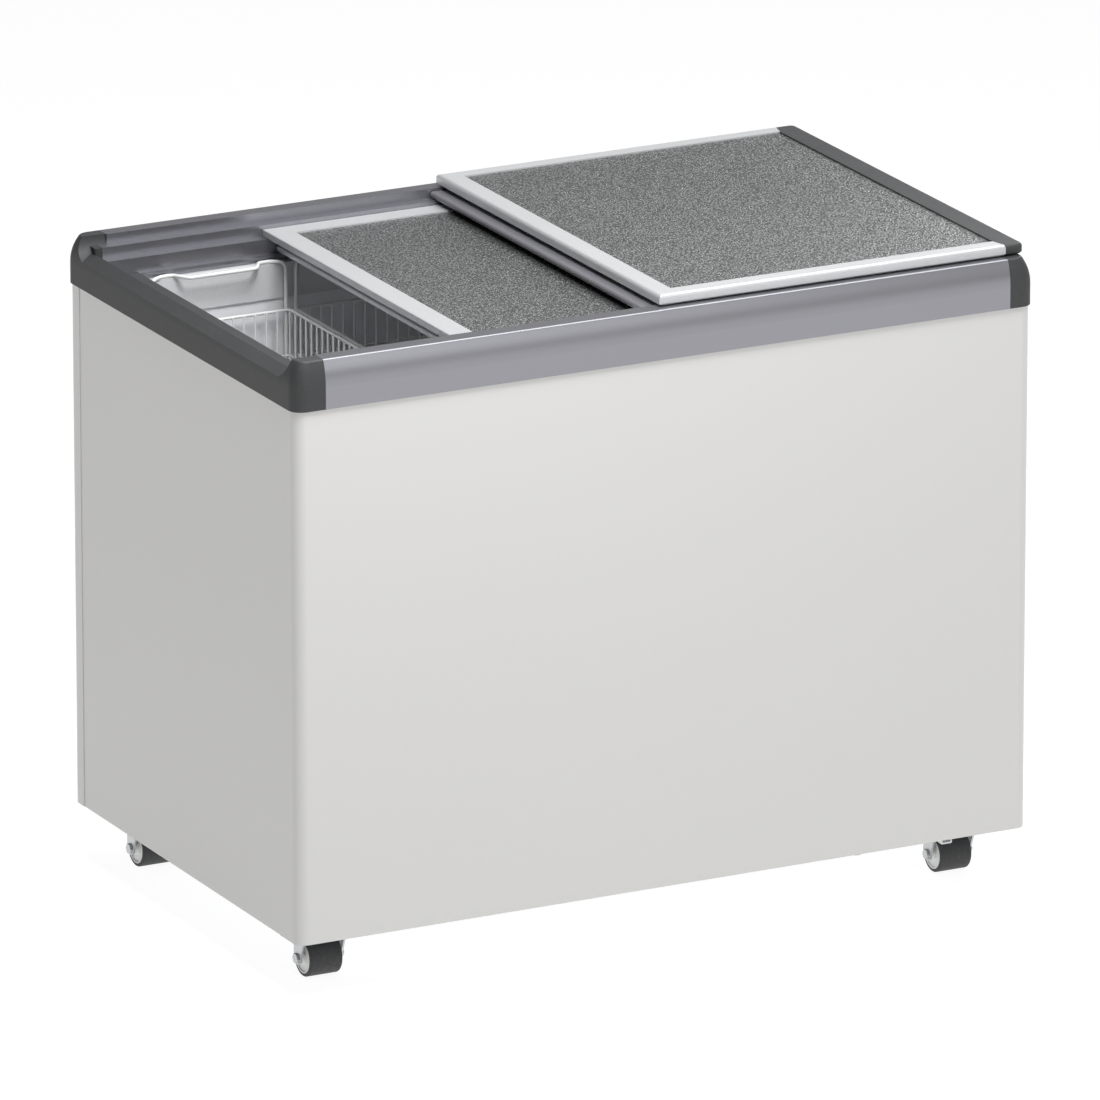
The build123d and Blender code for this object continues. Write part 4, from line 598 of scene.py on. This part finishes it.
class CABINET_OT_baskets(bpy.types.Operator):
    """Bends and coats the hanging baskets' wires"""

    bl_idname = "cabinet.baskets"
    bl_label = "Baskets"

    def execute(self, context):
        looks = context.scene.cabinet_finishes
        sizes = context.scene.cabinet_baskets
        coated = enamel_finish("Wire coating", tuple(looks.wire), roughness=0.34, coat=0.2, grain=1500.0)
        for number, body in ((1, "cabinet"), (2, "basket_2")):
            self.basket(sizes, coated, f"basket_{number}", body)
        return {"FINISHED"}

    def mesh_steps(self, sizes, half):
        """Whole mesh steps either side of the middle that fit in half a width."""
        last = int((half - sizes.side_gap) / sizes.pitch)
        return range(-last, last + 1)

    def basket(self, sizes, coated, name, body):
        low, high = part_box(f"{name}_side_walls")
        end_low, end_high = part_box(f"{name}_end_walls")
        frame_low, frame_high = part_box(f"{name}_frame")
        wire, rim = sizes.mesh_wire, sizes.rim_wire
        middle = (low[0] + high[0]) / 2
        rim_w = (frame_high[0] - frame_low[0]) / 2 - rim / 2
        rim_l = rim_w + (end_high[1] - (high[0] - middle))
        mesh_w = (high[0] - low[0]) / 2 - wire * MESH_INSET
        mesh_l = (end_high[1] - end_low[1]) / 2 - wire * MESH_INSET
        top = high[2] - sizes.top_drop
        under = low[2] - wire / 2
        rows = self.mesh_steps(sizes, mesh_l)
        columns = self.mesh_steps(sizes, mesh_w)
        across = [
            rounded_path(
                [
                    (middle - mesh_w, row * sizes.pitch, top),
                    (middle - mesh_w, row * sizes.pitch, under),
                    (middle + mesh_w, row * sizes.pitch, under),
                    (middle + mesh_w, row * sizes.pitch, top),
                ],
                sizes.bend,
            )
            for row in rows
        ]
        weld = wire * WELD_SHARE
        lower = under - weld
        along = []
        for column in columns:
            x = middle + column * sizes.pitch
            if column % 2:
                for side in (-1, 1):
                    end = side * mesh_l
                    stop = side * (mesh_l - sizes.hook)
                    along.append(rounded_path([(x, end, top), (x, end, lower), (x, stop, lower)], sizes.bend))
            else:
                whole = [(x, -mesh_l, top), (x, -mesh_l, lower), (x, mesh_l, lower), (x, mesh_l, top)]
                along.append(rounded_path(whole, sizes.bend))
        out_w, out_l = mesh_w + weld, mesh_l + weld
        bands = [
            rounded_path(
                [
                    (middle + out_w, out_l, z),
                    (middle - out_w, out_l, z),
                    (middle - out_w, -out_l, z),
                    (middle + out_w, -out_l, z),
                ],
                sizes.bend,
                closed=True,
            )
            for z in (top - sizes.upper_band, top - sizes.middle_band, under + wire * LOWEST_BAND)
        ]
        hoop = rounded_path(
            [
                (middle + rim_w, rim_l, top),
                (middle - rim_w, rim_l, top),
                (middle - rim_w, -rim_l, top),
                (middle + rim_w, -rim_l, top),
            ],
            sizes.bend,
            closed=True,
        )
        leg_x = rim_w - sizes.leg_inset
        leg_y = rim_l + rim / 2 + sizes.handle_wire / 2
        shoulder_y = frame_high[1] - sizes.handle_wire / 2
        top_z = frame_high[2] - sizes.handle_wire / 2
        handles = []
        for side in (-1, 1):
            half = [
                (leg_x, leg_y, frame_low[2]),
                (leg_x, leg_y, top_z),
                (leg_x - 2 * sizes.handle_bend, shoulder_y, top_z),
                (leg_x - sizes.handle_shoulder, shoulder_y, top_z),
                (leg_x - sizes.handle_shoulder - sizes.handle_ramp, shoulder_y - sizes.handle_jog, top_z),
            ]
            path = [(middle + x, side * y, z) for x, y, z in half]
            path += [(middle - x, side * y, z) for x, y, z in reversed(half)]
            handles.append(rounded_path(path, sizes.handle_bend, steps=6))
        pieces = (
            (f"{name}_cross_wires", across, wire, False, (f"{name}_side_walls",)),
            (f"{name}_long_wires", along, wire, False, (f"{name}_end_walls",)),
            (f"{name}_bands", bands, wire, True, (f"{name}_floor",)),
            (f"{name}_hoop", [hoop], rim, True, (f"{name}_frame",)),
            (f"{name}_handles", handles, sizes.handle_wire, False, (f"{name}_frame",)),
        )
        for label, paths, diameter, closed, nodes in pieces:
            piece = bent_wires(label, paths, diameter, coated, closed)
            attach(piece, body)
            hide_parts(*nodes)


class CABINET_OT_casters(bpy.types.Operator):
    """Finishes the casters' plates, forks, hubs and tyres"""

    bl_idname = "cabinet.casters"
    bl_label = "Casters"

    def execute(self, context):
        looks = context.scene.cabinet_finishes
        corners = ("fl", "fr", "bl", "br")
        zinc = zinc_finish("Zinc plate", tuple(looks.zinc))
        dress(["caster_plates", "caster_bolts"], zinc)
        dress([f"caster_{c}_fork" for c in corners], zinc)
        hub = moulded_finish("Hub nylon", tuple(looks.hub), 0.4, dust=0.15)
        dress([f"caster_{c}_hub" for c in corners], hub)
        tyre = moulded_finish("Tyre rubber", tuple(looks.tyre), 0.62, 1800.0, 0.00008, dust=0.2)
        dress([f"caster_{c}_tyre" for c in corners], tyre)
        return {"FINISHED"}


class CABINET_OT_machine(bpy.types.Operator):
    """Finishes the compressor compartment, its grille and its controls"""

    bl_idname = "cabinet.machine"
    bl_label = "Machine compartment"

    def execute(self, context):
        looks = context.scene.cabinet_finishes
        dark = moulded_finish("Grille plastic", tuple(looks.grille))
        dress(["compressor_grille", "control_pocket", "thermostat"], dark)
        dress(["thermostat_knob", "power_inlet"], moulded_finish("Knob plastic", tuple(looks.knob), 0.32))
        dress(["grille_screws"], zinc_finish("Screw zinc", tuple(looks.screw)))
        dress(["inlet_pins"], zinc_finish("Pin brass", tuple(looks.pin)))
        black = enamel_finish("Black enamel", tuple(looks.compressor), 0.35, grain=300.0, dust=0.3)
        dress(["compressor"], black)
        dress(["compressor_grommets"], moulded_finish("Grommet rubber", tuple(looks.grommet), 0.7))
        dress(["filter_drier", "refrigerant_pipes"], zinc_finish("Copper tube", tuple(looks.copper)))
        return {"FINISHED"}


class CABINET_OT_stage(bpy.types.Operator):
    """Sets the camera, the pale floor and the studio lights"""

    bl_idname = "cabinet.stage"
    bl_label = "Stage"

    def area_light(self, name, power, width, place, aim):
        lamp = bpy.data.lights.new(name, "AREA")
        lamp.energy = power
        lamp.shape = "RECTANGLE"
        lamp.size, lamp.size_y = width, width
        obj = bpy.data.objects.new(name, lamp)
        bpy.context.scene.collection.objects.link(obj)
        obj.location = place
        obj.rotation_euler = (Vector(aim) - Vector(place)).to_track_quat("-Z", "Y").to_euler()

    def execute(self, context):
        stage = context.scene.cabinet_stage
        turn, rise = math.radians(stage.azimuth), math.radians(stage.elevation)
        back = Vector((math.sin(turn) * math.cos(rise), -math.cos(turn) * math.cos(rise), math.sin(rise)))
        right = Vector((math.cos(turn), math.sin(turn), 0.0))
        up = back.cross(right)
        eye = bpy.data.cameras.new("Camera")
        eye.lens = stage.focal
        eye.sensor_width = 36.0
        eye.clip_end = 100.0
        camera = bpy.data.objects.new("Camera", eye)
        context.scene.collection.objects.link(camera)
        aim = Vector((0.0, 0.0, stage.aim_height))
        camera.location = aim + back * stage.distance + right * stage.slide_right + up * stage.slide_up
        camera.rotation_euler = back.to_track_quat("Z", "Y").to_euler()
        context.scene.camera = camera

        mesh = bpy.data.meshes.new("Studio floor")
        made = bmesh.new()
        bmesh.ops.create_grid(made, x_segments=2, y_segments=2, size=30.0)
        made.to_mesh(mesh)
        made.free()
        floor = bpy.data.objects.new("Studio_floor", mesh)
        context.scene.collection.objects.link(floor)
        finish = Finish("Pale floor", roughness=0.9, specular=0.0)
        paint = tuple(stage.floor)
        finish.handled(paint, 0.9, dust=0.02, smear=0.02, scale=1.0, dust_tint=(0.19, 0.19, 0.19))
        finish.shader.inputs["Emission Color"].default_value = (1.0, 1.0, 1.0, 1.0)
        finish.shader.inputs["Emission Strength"].default_value = stage.glow
        mesh.materials.append(finish.material)

        self.area_light("Key", stage.key, 2.6, (0.9, -4.2, 2.6), (0.0, 0.0, 0.5))
        self.area_light("Overhead", stage.overhead, 2.4, (0.75, 0.1, 3.0), (0.1, 0.0, 0.7))
        self.area_light("Well", stage.reach, 0.7, (-0.42, -0.8, 2.4), (-0.32, 0.2, 0.7))
        self.area_light("Sheen", stage.sheen, 0.9, (2.2, 1.4, 1.6), (0.5, -0.25, 0.86))

        world = context.scene.world or bpy.data.worlds.new("Studio")
        context.scene.world = world
        world.use_nodes = True
        world.node_tree.nodes.clear()
        tree = world.node_tree
        place = add_node(tree, "ShaderNodeTexCoord")
        parts = add_node(tree, "ShaderNodeSeparateXYZ")
        ramp = add_node(tree, "ShaderNodeMapRange", in_From_Min=-1.0, in_From_Max=1.0)
        ramp.inputs["To Min"].default_value = stage.sky_left
        ramp.inputs["To Max"].default_value = stage.sky_right
        seen = add_node(tree, "ShaderNodeLightPath")
        around = add_node(tree, "ShaderNodeBackground")
        white = add_node(tree, "ShaderNodeBackground", in_Color=(1.0, 1.0, 1.0, 1.0), in_Strength=1.0)
        mix = add_node(tree, "ShaderNodeMixShader")
        out = add_node(tree, "ShaderNodeOutputWorld")
        link(tree, place.outputs["Generated"], parts.inputs[0])
        link(tree, parts.outputs["X"], ramp.inputs["Value"])
        link(tree, ramp.outputs["Result"], around.inputs["Strength"])
        link(tree, seen.outputs["Is Camera Ray"], mix.inputs["Fac"])
        link(tree, around.outputs[0], mix.inputs[1])
        link(tree, white.outputs[0], mix.inputs[2])
        link(tree, mix.outputs[0], out.inputs["Surface"])
        context.scene.view_settings.view_transform = "Standard"
        return {"FINISHED"}


class CABINET_PT_panel(bpy.types.Panel):
    """Sidebar panel of the cabinet's settings and pieces"""

    bl_label = "Ice Cream Cabinet"
    bl_idname = "CABINET_PT_panel"
    bl_space_type = "VIEW_3D"
    bl_region_type = "UI"
    bl_category = "Cabinet"

    def draw(self, context):
        scene = context.scene
        for settings in (scene.cabinet_finishes, scene.cabinet_baskets, scene.cabinet_stage):
            box = self.layout.box()
            for name in settings.__annotations__:
                box.prop(settings, name)
        for operator in OPERATORS:
            self.layout.operator(operator.bl_idname)


OPERATORS = (
    CABINET_OT_shell,
    CABINET_OT_rim,
    CABINET_OT_lids,
    CABINET_OT_well,
    CABINET_OT_baskets,
    CABINET_OT_casters,
    CABINET_OT_machine,
    CABINET_OT_stage,
)
CLASSES = (CabinetFinishes, CabinetBaskets, CabinetStage, *OPERATORS, CABINET_PT_panel)


def register():
    for item in CLASSES:
        bpy.utils.register_class(item)
    bpy.types.Scene.cabinet_finishes = PointerProperty(type=CabinetFinishes)
    bpy.types.Scene.cabinet_baskets = PointerProperty(type=CabinetBaskets)
    bpy.types.Scene.cabinet_stage = PointerProperty(type=CabinetStage)


def unregister():
    del bpy.types.Scene.cabinet_stage
    del bpy.types.Scene.cabinet_baskets
    del bpy.types.Scene.cabinet_finishes
    for item in reversed(CLASSES):
        bpy.utils.unregister_class(item)


def main():
    register()
    bpy.ops.cabinet.shell()
    bpy.ops.cabinet.rim()
    bpy.ops.cabinet.lids()
    bpy.ops.cabinet.well()
    bpy.ops.cabinet.baskets()
    bpy.ops.cabinet.casters()
    bpy.ops.cabinet.machine()
    bpy.ops.cabinet.stage()


if __name__ == "__main__":
    main()
